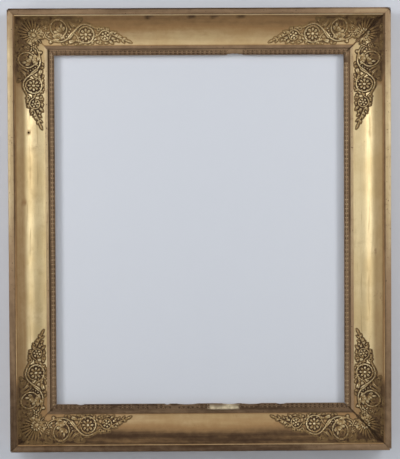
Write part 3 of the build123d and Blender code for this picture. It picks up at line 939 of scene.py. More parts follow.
# The fillet is painted darker at the top and bottom: partly dirt, partly painted shade.
FILLET_SOIL_AND_SHADE, SIDE_FILLET_SOIL = {"top": 0.65, "right": 0.32, "bottom": 0.78, "left": 0.28}, 0.16
QUIRK_SOIL, SEAT_SOIL, FILLET_RUB = 0.95, 0.75, 0.3
LOSSES = {
    "top": ((52, 65, 0.05), (66, 80, 0.05)),
    "right": ((-321, -306, 0),),
    "bottom": ((-70, -17, 1), (40, 52, 0), (84, 95, 0), (118, 124, 0), (150, 163, 0), (-112, -104, 0),
               (-150, -141, 0)),
    "left": (),
}
SHORT_CHIPS = {"top": ((54.6, 12.16, 3.2), (61.75, 17.48, 4.6), (68.8, 15.96, 4.2), (76.5, 11.4, 3))}
LONG_CHIPS = {"bottom": ((221, 18, 3.2), (61.5, 13, 3.2), (25, 50, 3.2), (-53, 38, 3.2), (-93, 50, 3.2),
                         (-148, 24, 3.2))}
CHIP_CENTRE, THROUGH_LIP = -0.35, 2.5


def lost_at(side, along):
    """How pale each point is where leaves are lost, and whether they are lost at all."""
    pale = np.zeros(len(along))
    lost = np.zeros(len(along), dtype=bool)
    for low, high, paleness in LOSSES[side.name]:
        inside = (along > low * MM) & (along < high * MM)
        pale[inside] = paleness
        lost |= inside
    return pale, lost


for side in SIDES:
    sight = pull_moulding(f"gilded_sight_{side.name}", side, sight_outline)
    apply_modifier(sight, "BEVEL", width=SIGHT_BEVEL, segments=2, limit_method="ANGLE")
    apply_modifier(sight, "DISPLACE", texture=cloud, strength=SIGHT_UNEVEN, mid_level=0.5)
    for middle, length, radius in SHORT_CHIPS.get(side.name, ()) + LONG_CHIPS.get(side.name, ()):
        spot = side.at(middle * MM, CHIP_CENTRE * radius * MM, lip_front)
        cut(sight, rough_ball(spot, radius * MM, (length / 2 / radius, THROUGH_LIP, 1)))
    points = points_of(sight)
    along, out, height = side.places(points)
    quirk = blend(np.abs(out - SEAT_WIDTH - QUIRK_WIDTH / 2), 1.3 * MM, 0.9 * MM)
    quirk = QUIRK_SOIL * quirk * blend(height, fillet_front, fillet_front - 2 * MM)
    pale, lost = lost_at(side, along)
    seat = blend(out, SEAT_WIDTH + 0.2 * MM, SEAT_WIDTH - 0.4 * MM)
    seat = np.where(lost & (pale == 0), 1, SEAT_SOIL) * seat
    paint(
        sight, "loss",
        pale * blend(out, SEAT_WIDTH + 0.5 * MM, SEAT_WIDTH) * blend(out, 0.5 * MM, 2.5 * MM),
    )
    fillet = FILLET_SOIL_AND_SHADE[side.name] + side.upright * SIDE_FILLET_SOIL * low_down(points)
    paint(sight, "grime", np.maximum.reduce([quirk, seat, fillet, mitre_soil(side, along, out)]))
    ruled(sight, side)
    paint(sight, "rub", FILLET_RUB * blend(height, fillet_front - 0.6 * MM, fillet_front - 0.1 * MM))
    smooth(sight, MOULDING_CREASE)
    settle(sight, "gilded_sight", sight_finish, f"sight_moulding_{side.name}")
    print(sight.name, len(sight.data.polygons), "faces")

# %% [markdown]
# ## Ornament, flat on the bench
# The corner ornament was pressed from moulds in a warm paste of chalk, glue and resin, and bent onto the
# cove while it was soft. It could be carved straight on the curved cove, but it is far easier to work as
# the moulder did: flat on a bench, here in millimetres, with height as relief. Everything grows from two
# motifs. A dome is half sunk in the bench. A leaf is a sphere whose midrib is pressed down, tapered so that
# one end is slim.

# %% Model the dome and the leaf
MIDRIB_PRESS, LEAF_TAPER = 0.14, 1.1


def round_motif(name, segments=16, rings=12):
    """A sphere of size 1 with its poles along X, ready to be worked."""
    bpy.ops.object.select_all(action="DESELECT")
    turn = (0, math.pi / 2, 0)
    bpy.ops.mesh.primitive_uv_sphere_add(segments=segments, ring_count=rings, radius=0.5, rotation=turn)
    bpy.ops.object.transform_apply(location=False, rotation=True, scale=False)
    motif = bpy.context.object
    motif.name = name
    return motif


dome = round_motif("dome_motif")
leaf = round_motif("leaf_motif")
bpy.ops.object.mode_set(mode="EDIT")
mesh = bmesh.from_edit_mesh(leaf.data)
pick(mesh, lambda edge: all(abs(vert.co.y) < 1e-4 and vert.co.z > 0.05 for vert in edge.verts))
bpy.ops.transform.translate(value=(0, 0, -MIDRIB_PRESS))
bpy.ops.object.mode_set(mode="OBJECT")
apply_modifier(leaf, "SIMPLE_DEFORM", deform_method="TAPER", deform_axis="X", factor=LEAF_TAPER)
print("motifs:", dome.name, leaf.name, len(leaf.data.polygons), "faces each")

# %% [markdown]
# Motifs are stamped like pastry. Each stamp is a copy with its own mesh, sized, turned and put down, and no
# two are pressed quite alike. A rosette is a ring of leaves round a boss. Loose leaves stand round a
# circle, leaning.

# %% Stamps, rosettes and leaves
UNEVEN_TURN, UNEVEN_SIZE = 7, 0.1
PETAL_WIDTH, PETAL_RELIEF, BOSS_OVERLAP = 1.65, 0.85, 0.5
press = np.random.default_rng(11)


def copy_of(piece):
    """A copy of a piece, with a mesh of its own."""
    copy = piece.copy()
    copy.data = piece.data.copy()
    bpy.context.collection.objects.link(copy)
    return copy


def polar(centre, reach, degrees):
    """A place on the bench, by its reach and angle from a centre."""
    angle = math.radians(degrees)
    return centre[0] + reach * math.cos(angle), centre[1] + reach * math.sin(angle)


def stamp(motif, place, length, width, relief, turn=0):
    """A copy of a motif on the bench, with its size in plan, its height and its turn in degrees."""
    copy = copy_of(motif)
    turn = turn + press.uniform(-UNEVEN_TURN, UNEVEN_TURN)
    uneven = press.uniform(1 - UNEVEN_SIZE, 1 + UNEVEN_SIZE, 3)
    length, width, relief = np.array((length, width, relief)) * uneven
    spin = Matrix.Rotation(math.radians(turn), 4, "Z")
    size = Matrix.Diagonal((length, width, 2 * relief, 1))
    copy.data.transform(Matrix.Translation((*place, 0)) @ spin @ size)
    return copy


def rosette(place, petals, reach, boss, relief, turn=0):
    """A ring of petals round a boss."""
    stamps = [stamp(dome, place, 2 * boss, 2 * boss, relief)]
    inner = BOSS_OVERLAP * boss
    middle = (reach + inner) / 2
    width = PETAL_WIDTH * math.pi * middle / petals
    for petal in range(petals):
        angle = turn + 360 * petal / petals
        spot = polar(place, middle, angle)
        stamps.append(stamp(leaf, spot, reach - inner, width, PETAL_RELIEF * relief, angle))
    return stamps


def foliage(centre, radius, angles, length, width, relief, lean):
    """Leaves set round a circle, each turned from straight outwards by a lean."""
    return [
        stamp(leaf, polar(centre, radius, angle), length, width, relief, angle + lean) for angle in angles
    ]


print("stamps vary by up to", UNEVEN_TURN, "degrees and", round(100 * UNEVEN_SIZE), "percent")

# %% [markdown]
# A stem is a curve with a round section, slim at its ends, made a mesh at once. A scroll is a stem that
# runs round a circle while the circle shrinks. Modelling either from a tube would need a bend at every
# step.

# %% Stems and scrolls
STEM_SLIM, STEM_LIFT, SCROLL_STEP = 0.6, 0.35, 20


def stem(points, thickness):
    """A stem through points in plan, slim at both ends."""
    curve = bpy.data.curves.new("stem", "CURVE")
    curve.dimensions = "3D"
    curve.bevel_depth = thickness / 2
    curve.bevel_resolution = 3
    curve.use_fill_caps = True
    spline = curve.splines.new("NURBS")
    spline.points.add(len(points) - 1)
    for index, (control, place) in enumerate(zip(spline.points, points)):
        swell = math.sin(math.pi * index / (len(points) - 1)) ** 0.5
        control.co = (*place, STEM_LIFT * thickness, 1)
        control.radius = STEM_SLIM + (1 - STEM_SLIM) * swell
    spline.use_endpoint_u = True
    spline.order_u = 4
    spline.resolution_u = 5
    piece = bpy.data.objects.new("stem", curve)
    bpy.context.collection.objects.link(piece)
    take(piece)
    bpy.ops.object.convert(target="MESH")
    return bpy.context.object


def scroll(lead, centre, radius, start, sweep, thickness, shrink):
    """A stem that comes in along lead points and runs round a centre while its radius shrinks."""
    steps = round(abs(sweep) / SCROLL_STEP)
    points = list(lead)
    for step in range(steps + 1):
        points.append(polar(centre, radius - shrink * step / steps, start + sweep * step / steps))
    return stem(points, thickness)


print("a scroll takes a point every", SCROLL_STEP, "degrees")

# %% [markdown]
# The forms are laid on a skirt, a thin skin that the press leaves round every form, which is what ties a
# casting together. A voxel Remesh melts them into one skin, which a Boolean union of a hundred stamps would
# do slowly and with slivers. A fine noise then takes off the sharpness, as old paste has lost it.

# %% Cast
SKIRT_SPREAD, SKIRT_RELIEF, BED_DEPTH = 2, 0.5, 0.6
PASTE_GRAIN, PASTE_UNEVEN = 2.4, 0.7
paste = bpy.data.textures.new("worn_paste", "CLOUDS")
paste.noise_scale = PASTE_GRAIN


def join(name, pieces):
    """One object out of several."""
    bpy.ops.object.select_all(action="DESELECT")
    for piece in pieces:
        piece.select_set(True)
    bpy.context.view_layer.objects.active = pieces[0]
    bpy.ops.object.join()
    pieces[0].name = name
    return pieces[0]


def limit_relief(piece, low, high):
    """Presses a piece flat below and above."""
    points = points_of(piece)
    points[:, 2] = np.clip(points[:, 2], low, high)
    piece.data.vertices.foreach_set("co", points.ravel())
    piece.data.update()


def cast(name, pieces, voxel, kept):
    """Joins forms into one casting with a skirt, melted on a fine grid and thinned to a share of it."""
    form = join(name, pieces)
    skirt = copy_of(form)
    apply_modifier(skirt, "DISPLACE", strength=SKIRT_SPREAD, mid_level=0)
    limit_relief(skirt, -BED_DEPTH, SKIRT_RELIEF)
    casting = join(name, [form, skirt])
    apply_modifier(casting, "REMESH", mode="VOXEL", voxel_size=voxel)
    apply_modifier(casting, "DISPLACE", texture=paste, strength=PASTE_UNEVEN, mid_level=0.5)
    apply_modifier(casting, "SMOOTH", factor=0.5, iterations=2)
    apply_modifier(casting, "DECIMATE", ratio=kept)
    limit_relief(casting, -BED_DEPTH, np.inf)
    return casting


print("a skirt spreads", SKIRT_SPREAD, "mm round each form")

# %% [markdown]
# Dirt and wear follow the relief: each point is compared with the mean height around it, so hollows turn
# dark and ridges bright. A shader could find hollows too, but only while it renders. Painted values also
# reach an export.

# %% Wear
RIDGE_RUB, GROUND_SOIL = 0.62, 0.72
WEAR_SPREAD = 14


def wear(casting):
    """Grime in the hollows and rub on the ridges, from each point's height against its neighbourhood."""
    relief = points_of(casting)[:, 2]
    edges = np.empty(2 * len(casting.data.edges), dtype=np.int64)
    casting.data.edges.foreach_get("vertices", edges)
    first, second = edges.reshape(-1, 2).T
    count = len(relief)
    degree = np.bincount(edges, minlength=count)
    mean = relief.copy()
    for _ in range(WEAR_SPREAD):
        total = np.bincount(first, mean[second], count) + np.bincount(second, mean[first], count)
        mean = (mean + total / degree) / 2
    lift = relief - mean
    hollow = blend(lift, 0.1, -0.3)
    ground = GROUND_SOIL * blend(relief, 1.6, 0.5)
    paint(casting, "grime", np.maximum(hollow, ground))
    paint(casting, "rub", RIDGE_RUB * blend(lift, 0.1, 0.5) * blend(relief, 1.4, 2.6))


def painted_on(piece, name):
    """The values that were painted on a piece's points."""
    values = np.empty(len(piece.data.vertices), dtype=np.float32)
    piece.data.attributes[name].data.foreach_get("value", values)
    return values


def deepen(piece, soil, dusted=0.8, kept=1):
    """Keeps a share of a piece's grime and adds more where it is less, except on the dusted ridges. High
    up the cove what it adds is partly painted shade.
    """
    kept_clean = dusted * painted_on(piece, "rub") / RIDGE_RUB
    grime = np.maximum(kept * painted_on(piece, "grime"), soil * (1 - kept_clean))
    piece.data.attributes["grime"].data.foreach_set("value", grime.astype(np.float32))


print("a point is compared with the points up to", WEAR_SPREAD, "edges away")

# %% [markdown]
# ## The scroll arm
# The scroll arm grows out of the corner. One stem waves along the cove and throws off three scrolls, each
# smaller than the last, with a flower in each: a whirl of leaves, a rosette of eight petals and a small one
# of six. The stem ends in a curl. Leaves cover every parting, a spray of small leaves runs out to the tip,
# and two small flowers and flat leaves along the rim fill the corner. Places are in millimetres along the
# side from the corner of the opening and outwards from its edge. A leaf's row gives its place, length,
# width, relief and turn.

# %% Press a scroll arm
STEM_WAVE = ((-17, 34), (-8, 28), (5, 24.5), (16, 24), (26, 29.5), (34, 37), (41, 47), (49, 53.5), (58, 55.5),
             (67, 53), (74, 48), (80, 47))
SPRAY = ((100, 39), (108, 36), (117, 31.5), (127, 28), (140, 23.5))
LEAVES = (
    ((4, 27.5), 15, 5.5, 2.8, 170), ((33, 37.5), 23, 7, 3.2, 56), ((33.7, 25), 13, 7, 2.8, 15),
    ((46, 25), 8, 3.6, 2.4, -30), ((50, 21), 7, 3.2, 2.2, -50), ((70, 24.5), 8, 3.6, 2.4, 40),
    ((75, 29), 8, 3.4, 2.4, 60), ((33, 55), 15, 5, 2.6, 140), ((41, 60.5), 11, 4.5, 2.2, 180),
    ((50, 61), 8, 4, 2.2, 30), ((-22, 44), 11, 4.5, 2.4, 100), ((-4, 24), 7, 6, 2.6, 0),
    ((106, 40.5), 10, 5, 2.6, 25), ((104.5, 22.5), 9, 4.4, 2.5, -35), ((108, 30), 9.5, 4.8, 2.6, 0),
    ((115, 35.5), 9, 4.4, 2.5, 20), ((121, 33), 9, 4.4, 2.5, 0), ((117, 25.5), 8, 3.8, 2.4, -40),
    ((127, 24.5), 8, 3.6, 2.3, -50), ((130, 29.5), 8, 3.6, 2.3, 5), ((140, 23.5), 11, 3.4, 2.2, -22),
    ((27, 53), 13, 3.2, 2.2, 118), ((38, 52), 10, 3, 2, 155), ((45, 58), 9, 3, 2, 170),
    ((-9, 58), 9, 3.6, 2.2, 40), ((-17, 56.5), 8, 3.2, 2.2, 70), ((-8, 41), 8, 3.4, 2.4, 20),
    ((-7, 33), 8, 3.6, 2.4, -20), ((18, 20), 7, 3, 2, -20), ((24, 21), 7, 3, 2, 30),
    ((41, 20), 7, 3, 2, 20), ((58, 18.5), 7, 2.6, 1.9, 0), ((66, 19.5), 7, 2.6, 1.9, 25),
    ((80, 24), 8, 3.4, 2.2, 20), ((84, 21), 7, 3, 2, -15), ((88, 47.5), 8, 3.4, 2.2, 10),
    ((97, 46), 8, 3.4, 2.2, -15), ((95, 21.5), 8, 3.2, 2.2, 0), ((111, 26), 7, 3.4, 2.2, -20),
    ((112, 40), 7, 3.2, 2.2, 25), ((124, 29), 7, 3, 2.2, -20), ((134, 26), 7, 3, 2.2, -22),
    ((-46, 64), 15, 1.8, 2, 0), ((-29, 64), 8, 1.8, 2, 0),
    ((-13, 64), 15, 1.8, 2, 0), ((8, 65.4), 13, 1.8, 2, 0),
)
ROSETTE, SMALL_ROSETTE, WHIRL_CENTRE = (58, 37), (92.5, 34.5), (16, 40)
WHIRL = ((70, 13), (95, 18), (120, 13), (147, 13), (170, 17), (198, 12))
SHEATH_BEADS = ((20, 30), (23.5, 33.5), (26.5, 37.5), (29, 42), (31, 46.5))
ARM_VOXEL, ARM_KEPT = 0.45, 0.3
arm_forms = [
    stem(STEM_WAVE, 2.9),
    scroll(((3, 25), (11, 29.5)), (9.5, 48), 15.6, -50, 330, 2.8, 2.6),
    scroll(((35, 39), (41.5, 37)), ROSETTE, 16, 205, 325, 2.8, 2.6),
    scroll(((73, 33), (80, 34.5)), SMALL_ROSETTE, 10.2, 150, -330, 2.5, 2.2),
    stem(SPRAY, 2.2),
    scroll((), (81, 46.5), 3.2, 100, -400, 2.4, 1.6),
    scroll((), (6.5, 51.5), 4.6, 120, 300, 2, 2),
    *(
        stamp(leaf, polar(WHIRL_CENTRE, 0.5 * reach, turn), reach - 2, 4.6, 3.5, turn)
        for turn, reach in WHIRL
    ),
    *foliage((8.5, 27), 7.5, (32, 58, 84, 110, 136), 12.5, 5, 2.9, 0),
    *foliage(ROSETTE, 13.2, range(20, 380, 45), 5, 2.6, 2.2, 150),
    *foliage(SMALL_ROSETTE, 12.5, (-130, -90, -50, 60, 100), 5.5, 2.8, 2.1, 40),
    *foliage(ROSETTE, 19, (-150, -125, -55, -30, -5), 6, 3, 2.1, 45),
    *(stamp(dome, place, 2.8, 2.8, 2.7) for place in SHEATH_BEADS),
    *rosette(ROSETTE, 8, 11, 3.2, 2.9),
    *rosette(SMALL_ROSETTE, 6, 7.4, 2.3, 3.2, 18),
    *rosette((-15.5, 36.4), 6, 6, 1.8, 3),
    *rosette((-13.5, 49.5), 5, 4.2, 1.4, 2.6),
    *(stamp(leaf, place, length, width, relief, turn + 180) for place, length, width, relief, turn in LEAVES),
]
arm_casting = cast("arm_casting", arm_forms, ARM_VOXEL, ARM_KEPT)
wear(arm_casting)
print("scroll arm:", len(arm_casting.data.polygons), "faces on the bench")

# %% [markdown]
# ## The palmette
# The palmette sits on the mitre and opens towards the outer corner. Its lobes radiate from a heart, longest
# on the diagonal and short at the sides. Small fingers fold over the heart, broader leaves point back to
# the opening, and a stalk of beads runs between them along the mitre. A loop sets the lobes, so that their
# angles stay even.

# %% Press a palmette
LOBES, LOBE_SPREAD, LOBE_ROOT, LOBE_RELIEF = 17, 250, 4.5, 2.3
SIDE_REACH, MIDDLE_REACH, REACH_POWER = 15.5, 32.5, 1.5
HEART, HEART_RADIUS, HEART_RELIEF = (0, 0), 6.5, 4.4
FINGERS, FINGER_STEP = range(-4, 5), 27
BACK_LEAVES, BACK_ROOT = ((136, 16), (158, 20), (202, 20), (224, 16)), 3
STALK_BEADS, BEAD_STEP, FIRST_BEAD, BEAD_SIZE, BEAD_TAPER = 5, 2.6, -7.5, 3.4, 0.25
PALMETTE_VOXEL, PALMETTE_KEPT = 0.42, 0.32

palmette_forms = [stamp(dome, HEART, 2 * HEART_RADIUS, 2.2 * HEART_RADIUS, HEART_RELIEF)]
for lobe in range(LOBES):
    angle = LOBE_SPREAD * (lobe / (LOBES - 1) - 0.5)
    swell = math.cos(math.radians(angle * 90 / LOBE_SPREAD * 2)) ** REACH_POWER
    reach = SIDE_REACH + (MIDDLE_REACH - SIDE_REACH) * swell
    place = polar(HEART, (reach + LOBE_ROOT) / 2, angle)
    palmette_forms.append(stamp(leaf, place, reach - LOBE_ROOT, 1.9 + 0.05 * reach, LOBE_RELIEF, angle))
for finger in FINGERS:
    angle = FINGER_STEP * finger
    palmette_forms.append(stamp(leaf, polar(HEART, HEART_RADIUS, angle), 9, 3.2, 4, angle))
for turn, reach in BACK_LEAVES:
    place = polar(HEART, 0.5 * (reach + BACK_ROOT), turn)
    palmette_forms.append(stamp(leaf, place, reach - BACK_ROOT, 5.4, 3, turn + 180))
for bead in range(STALK_BEADS):
    size = BEAD_SIZE - BEAD_TAPER * bead
    palmette_forms.append(stamp(dome, (FIRST_BEAD - BEAD_STEP * bead, 0), size, size, 2.6))
palmette_casting = cast("palmette_casting", palmette_forms, PALMETTE_VOXEL, PALMETTE_KEPT)
print("palmette:", len(palmette_casting.data.polygons), "faces on the bench")

# %% [markdown]
# On the right of the frame the joint under the palmettes has opened and cracked them along the mitre. The
# crack could be painted, but it is wide enough to show its depth, so a thin blade cuts it from a copy. Then
# both take their wear.

# %% Crack a copy of the palmette
CRACK_START, CRACK_END, CRACK_WIDTH, CRACK_DEPTH = -24, 32, 3.2, 20
CRACK_DARK, CRACK_FADE = 1.9, 3.4

cracked_casting = copy_of(palmette_casting)
bpy.ops.object.select_all(action="DESELECT")
blade_size = (CRACK_END - CRACK_START, CRACK_WIDTH, CRACK_DEPTH)
bpy.ops.mesh.primitive_cube_add(size=1, location=((CRACK_START + CRACK_END) / 2, 0, 0), scale=blade_size)
bpy.ops.object.transform_apply()
cut(cracked_casting, bpy.context.object)
for casting in (palmette_casting, cracked_casting):
    wear(casting)
plan = points_of(cracked_casting)
in_crack = blend(np.abs(plan[:, 1]), CRACK_FADE, CRACK_DARK) * (plan[:, 0] < CRACK_END)
deepen(cracked_casting, in_crack, dusted=0)
print("cracked palmette:", len(cracked_casting.data.polygons), "faces on the bench")

# %% [markdown]
# ## Laying the ornament
# A casting is laid on the cove point by point. Its place outwards from the opening gives the height of the
# cove there, and its relief stands square to the cove. Near a mitre the two coves share the lean between
# them. The soft castings were pulled longer or pushed shorter by hand to fit their corner, so each arm has
# two factors, for its body and for its spray. The same casting serves every corner, mirrored, so its faces
# are turned outwards again afterwards. Then it takes the dirt of its corner, and high up the cove it is
# painted darker still, partly dirt and partly painted shade.

# %% Fit a casting to a corner
HEART_PLACE = 36.5
SPRAY_START = 98
ARM_LENGTHS = {
    "across": {
        "top_left": (1.02, 0.93), "top_right": (1, 0.87),
        "bottom_right": (0.98, 0.89), "bottom_left": (1, 0.87),
    },
    "upright": {
        "top_left": (0.96, 0.9), "top_right": (0.95, 0.95),
        "bottom_right": (1, 0.85), "bottom_left": (1.03, 0.82),
    },
}
diagonal = math.sqrt(0.5)
LAYS = {
    "across": (((-1, 0), (0, 1)), 0),
    "upright": (((0, 1), (-1, 0)), 0),
    "palmette": (((diagonal, -diagonal), (diagonal, diagonal)), HEART_PLACE),
}
MITRE_BLEND = 4 * MM
ORNAMENT_SOIL = {"top_left": 0.3, "top_right": 0.36, "bottom_right": 0.4, "bottom_left": 0.46}
# High up the cove the ornament is painted darker: partly dirt, partly painted shade.
HIGH_SOIL_AND_SHADE, HIGH_START, HIGH_END = 0.72, 42 * MM, 62 * MM
HOLLOW_SOIL = {("across", "top_left"): 0.8, ("across", "top_right"): 0.84}
ORNAMENT_CREASE = 60
ornament_finish = gilding(
    "gilded_ornament_finish", OLIVE_TONE, lustre=0.72, roughness=0.4, wear=0.05, dirt=0.3,
    wash_below=base_front, bare_below=base_front,
)


def lay_on_cove(casting, name, corner, lay):
    """A copy of a casting, laid on the coves of one corner."""
    piece = copy_of(casting)
    piece.name = name
    points = points_of(piece)
    plan = points[:, :2].T.copy()
    if lay in ARM_LENGTHS:
        body, spray = ARM_LENGTHS[lay][corner]
        plan[0] = body * np.minimum(plan[0], SPRAY_START) + spray * np.maximum(plan[0] - SPRAY_START, 0)
    turn, shift = LAYS[lay]
    across, upright = np.array(turn) @ plan + shift
    across, upright, relief = across * MM, upright * MM, points[:, 2] * MM
    out = np.clip(np.maximum(across, upright), cove_start, cove_end)
    rise = cove_foot + cove_radius - np.sqrt(cove_radius**2 - (out - cove_start) ** 2)
    lean = (out - cove_start) / cove_radius
    share = blend(across - upright, -MITRE_BLEND, MITRE_BLEND)
    flip = (1 if "right" in corner else -1, 1 if "top" in corner else -1)
    laid = np.empty_like(points)
    laid[:, 0] = flip[0] * (half_width + across - relief * lean * share)
    laid[:, 1] = -(rise + relief * np.sqrt(1 - lean**2))
    laid[:, 2] = flip[1] * (half_height + upright - relief * lean * (1 - share))
    move_points(piece, laid)
    base = ORNAMENT_SOIL[corner]
    soil = base + (HIGH_SOIL_AND_SHADE - base) * blend(out, HIGH_START, HIGH_END)
    deepen(piece, soil, kept=HOLLOW_SOIL.get((lay, corner), 1))
    take(piece)
    bpy.ops.object.mode_set(mode="EDIT")
    face_outwards()
    smooth(piece, ORNAMENT_CREASE)
    return piece


print("arms are laid at these shares of their length:", ARM_LENGTHS)

# %% [markdown]
# Every corner takes two arms and a palmette, cracked at the right. The palmettes' lobes are dark towards
# their ends and cleaner at the heart, which stands up and is dusted. Each piece stands for one CAD node, so
# it stays separate.

# %% Lay the ornament on the coves
PALMETTE_SOIL = {"top_left": 0.74, "top_right": 0.84, "bottom_right": 0.86, "bottom_left": 0.68}
PALMETTE_CLEAN, PALMETTE_DARK, PALMETTE_DUSTED = 9, 22, 0.75

for corner in ("top_left", "top_right", "bottom_right", "bottom_left"):
    for lay in ("across", "upright"):
        arm = lay_on_cove(arm_casting, f"gilded_arm_{lay}_{corner}", corner, lay)
        settle(arm, "gilded_ornament", ornament_finish, f"scroll_arm_{lay}_{corner}")
    casting = palmette_casting if "left" in corner else cracked_casting
    palmette = lay_on_cove(casting, f"gilded_palmette_{corner}", corner, "palmette")
    from_heart = np.hypot(*points_of(casting)[:, :2].T)
    deepen(
        palmette, PALMETTE_SOIL[corner] * blend(from_heart, PALMETTE_CLEAN, PALMETTE_DARK),
        PALMETTE_DUSTED,
    )
    settle(palmette, "gilded_ornament", ornament_finish, f"palmette_{corner}")
    print("ornament laid:", corner)

# %% [markdown]
# ## The leaf strip
# Next to the opening lies a strip of small leaves, in pairs on either side of a ridge. There are over five
# hundred pairs, so one pair is kept to a few dozen faces: two coarse spheres, tapered and leaning away from
# the ridge.

# %% Model a pair of small leaves
LEAF_PITCH = 4.16 * MM
STRIP_RELIEF = 1.5 * MM
SMALL_TAPER, LEAF_LENGTH, LEAF_WIDTH = 0.9, 0.42, 0.78
LEAF_ROWS, LEAF_LEAN = (0.26, 0.74), 0.25
seat_slope = math.atan2(SEAT_RISE, SEAT_WIDTH)
seat_length = math.hypot(SEAT_WIDTH, SEAT_RISE)


def on_seat(across, relief):
    """Outwards and height of a point of the sloping seat, by its place across it and its relief."""
    out = across * math.cos(seat_slope) - relief * math.sin(seat_slope)
    return out, lip_front + across * math.sin(seat_slope) + relief * math.cos(seat_slope)


def small_leaf(across, turn):
    """A leaf of few faces that points across the seat."""
    piece = round_motif("small_leaf", segments=6, rings=4)
    apply_modifier(piece, "SIMPLE_DEFORM", deform_method="TAPER", deform_axis="X", factor=SMALL_TAPER)
    spin = Matrix.Rotation(turn, 4, "Z")
    size = Matrix.Diagonal((LEAF_LENGTH * seat_length, LEAF_WIDTH * LEAF_PITCH, 2 * STRIP_RELIEF, 1))
    piece.data.transform(Matrix.Translation((0, across, 0)) @ spin @ size)
    return piece


def leaf_pair():
    """Two leaves that point away from the ridge between them."""
    turns = (math.pi / 2 - LEAF_LEAN, -math.pi / 2 + LEAF_LEAN)
    return join("leaf_pair", [small_leaf(row * seat_length, turn) for row, turn in zip(LEAF_ROWS, turns)])


print("seat length in mm:", round(seat_length / MM, 2), "slope:", round(math.degrees(seat_slope), 1))

# %% [markdown]
# An Array modifier repeats the pair along each side, and two bisects cut the row at the mitres. Every
# second pair is lower than its neighbours, and no two were pressed or rubbed alike, so each takes its own
# share of relief. Pairs that are lost are left out, and where a long chip has gone through the lip the
# inner leaf is gone too.

# %% Make a row of leaves
# The strip is painted darker at the top and bottom: partly dirt, partly painted shade.
STRIP_SOIL_AND_SHADE = {"top": 0.54, "right": 0.36, "bottom": 0.68, "left": 0.38}
LOWEST_PRESS, LESSER_LEAF = 0.75, 0.62
CHIP_TAKES = 0.42
ROOT_SOIL, OUTER_ROW_PAINTED_LIGHT, LEAF_RUB = 0.5, 0.12, 0.4
draw = np.random.default_rng(7)


def chipped_at(side, along):
    """Whether a long chip has taken the lip away at each place along a side."""
    chipped = np.zeros(len(along), dtype=bool)
    for middle, length, radius in LONG_CHIPS.get(side.name, ()):
        chipped |= np.abs(along - middle * MM) < CHIP_TAKES * length * MM
    return chipped


def leaf_row(side):
    """Pairs of leaves all along a side, without the lost ones, laid on the seat and cut at the mitres."""
    row = leaf_pair()
    count = int(2 * (side.half_length + SEAT_WIDTH) / LEAF_PITCH) + 1
    apply_modifier(row, "ARRAY", count=count, use_relative_offset=False, use_constant_offset=True,
                   constant_offset_displace=(LEAF_PITCH, 0, 0))
    start = (count - 1) * LEAF_PITCH / 2
    pair_places = np.arange(count) * LEAF_PITCH - start
    pale, lost = lost_at(side, pair_places)
    corners = len(row.data.vertices) // count
    inner_leaf = points_of(row)[:, 1] < seat_length / 2
    gone = np.repeat(lost, corners) | (np.repeat(chipped_at(side, pair_places), corners) & inner_leaf)
    bpy.ops.object.mode_set(mode="EDIT")
    mesh = bmesh.from_edit_mesh(row.data)
    for vert, off in zip(mesh.verts, gone):
        vert.select_set(bool(off))
    bpy.ops.mesh.delete(type="VERT")
    bpy.ops.object.mode_set(mode="OBJECT")
    shares = draw.uniform(LOWEST_PRESS, 1, count) * np.where(np.arange(count) % 2, LESSER_LEAF, 1)
    points = points_of(row)
    along = points[:, 0] - start
    relief = points[:, 2] * np.repeat(shares, corners)[~gone]
    out, height = on_seat(points[:, 1], relief)
    laid = np.outer(along, side.along) + np.outer(out + side.reach, side.outward)
    move_points(row, laid - np.outer(height, (0, 1, 0)))
    lifted = np.where(points[:, 2] > 0, relief / STRIP_RELIEF, 0)
    # The outer row lies in the shade of the fillet and is painted lighter against it: painted light.
    outer_row = blend(points[:, 1], 0.4 * seat_length, 0.6 * seat_length)
    paint(
        row, "grime",
        STRIP_SOIL_AND_SHADE[side.name] - OUTER_ROW_PAINTED_LIGHT * outer_row + ROOT_SOIL * blend(lifted, 0.8, 0.3),
    )
    paint(row, "rub", LEAF_RUB * blend(lifted, 0.8, 0.98))
    bpy.ops.object.mode_set(mode="EDIT")
    for end in (-1, 1):
        bisect(*side.mitre(end), use_fill=True, clear_outer=True)
    face_outwards()
    return row


print("every second pair has", LESSER_LEAF, "of the relief")

# %% [markdown]
# The ridge between the leaves is pulled as the mouldings are, through a small outline on the sloping seat.
# Where leaves are lost it is sunk into the seat, which is simpler than cutting it out. Then row and ridge
# are joined.

# %% Lay the leaf strips
RIDGE_SOIL, RIDGE_POLISH, RIDGE_SUNK = 0.05, 0.3, 1.6 * MM
RIDGE_SHAPE = ((0.42, -0.2), (0.58, -0.2), (0.58, 0.4), (0.54, 0.8), (0.5, 0.95), (0.46, 0.8), (0.42, 0.4))
STRIP_CREASE = 50
ridge_outline = [on_seat(seat_length * across, STRIP_RELIEF * relief) for across, relief in RIDGE_SHAPE]
strip_finish = gilding(
    "gilded_leaf_strip_finish", DUSTY_TONE, lustre=0.5, roughness=0.45, wear=0.05, dirt=0.4,
    wash_below=shoulder, bare_below=shoulder,
)


def leaf_ridge(side):
    """The ridge between the leaves, sunk where the leaves are lost."""
    ridge = pull_moulding("leaf_ridge", side, ridge_outline)
    points = points_of(ridge)
    pale, lost = lost_at(side, side.places(points)[0])
    move_points(ridge, points + np.outer(lost, (0, RIDGE_SUNK, 0)))
    paint(ridge, "grime", np.full(len(points), STRIP_SOIL_AND_SHADE[side.name] + RIDGE_SOIL))
    paint(ridge, "rub", np.full(len(points), RIDGE_POLISH))
    return ridge


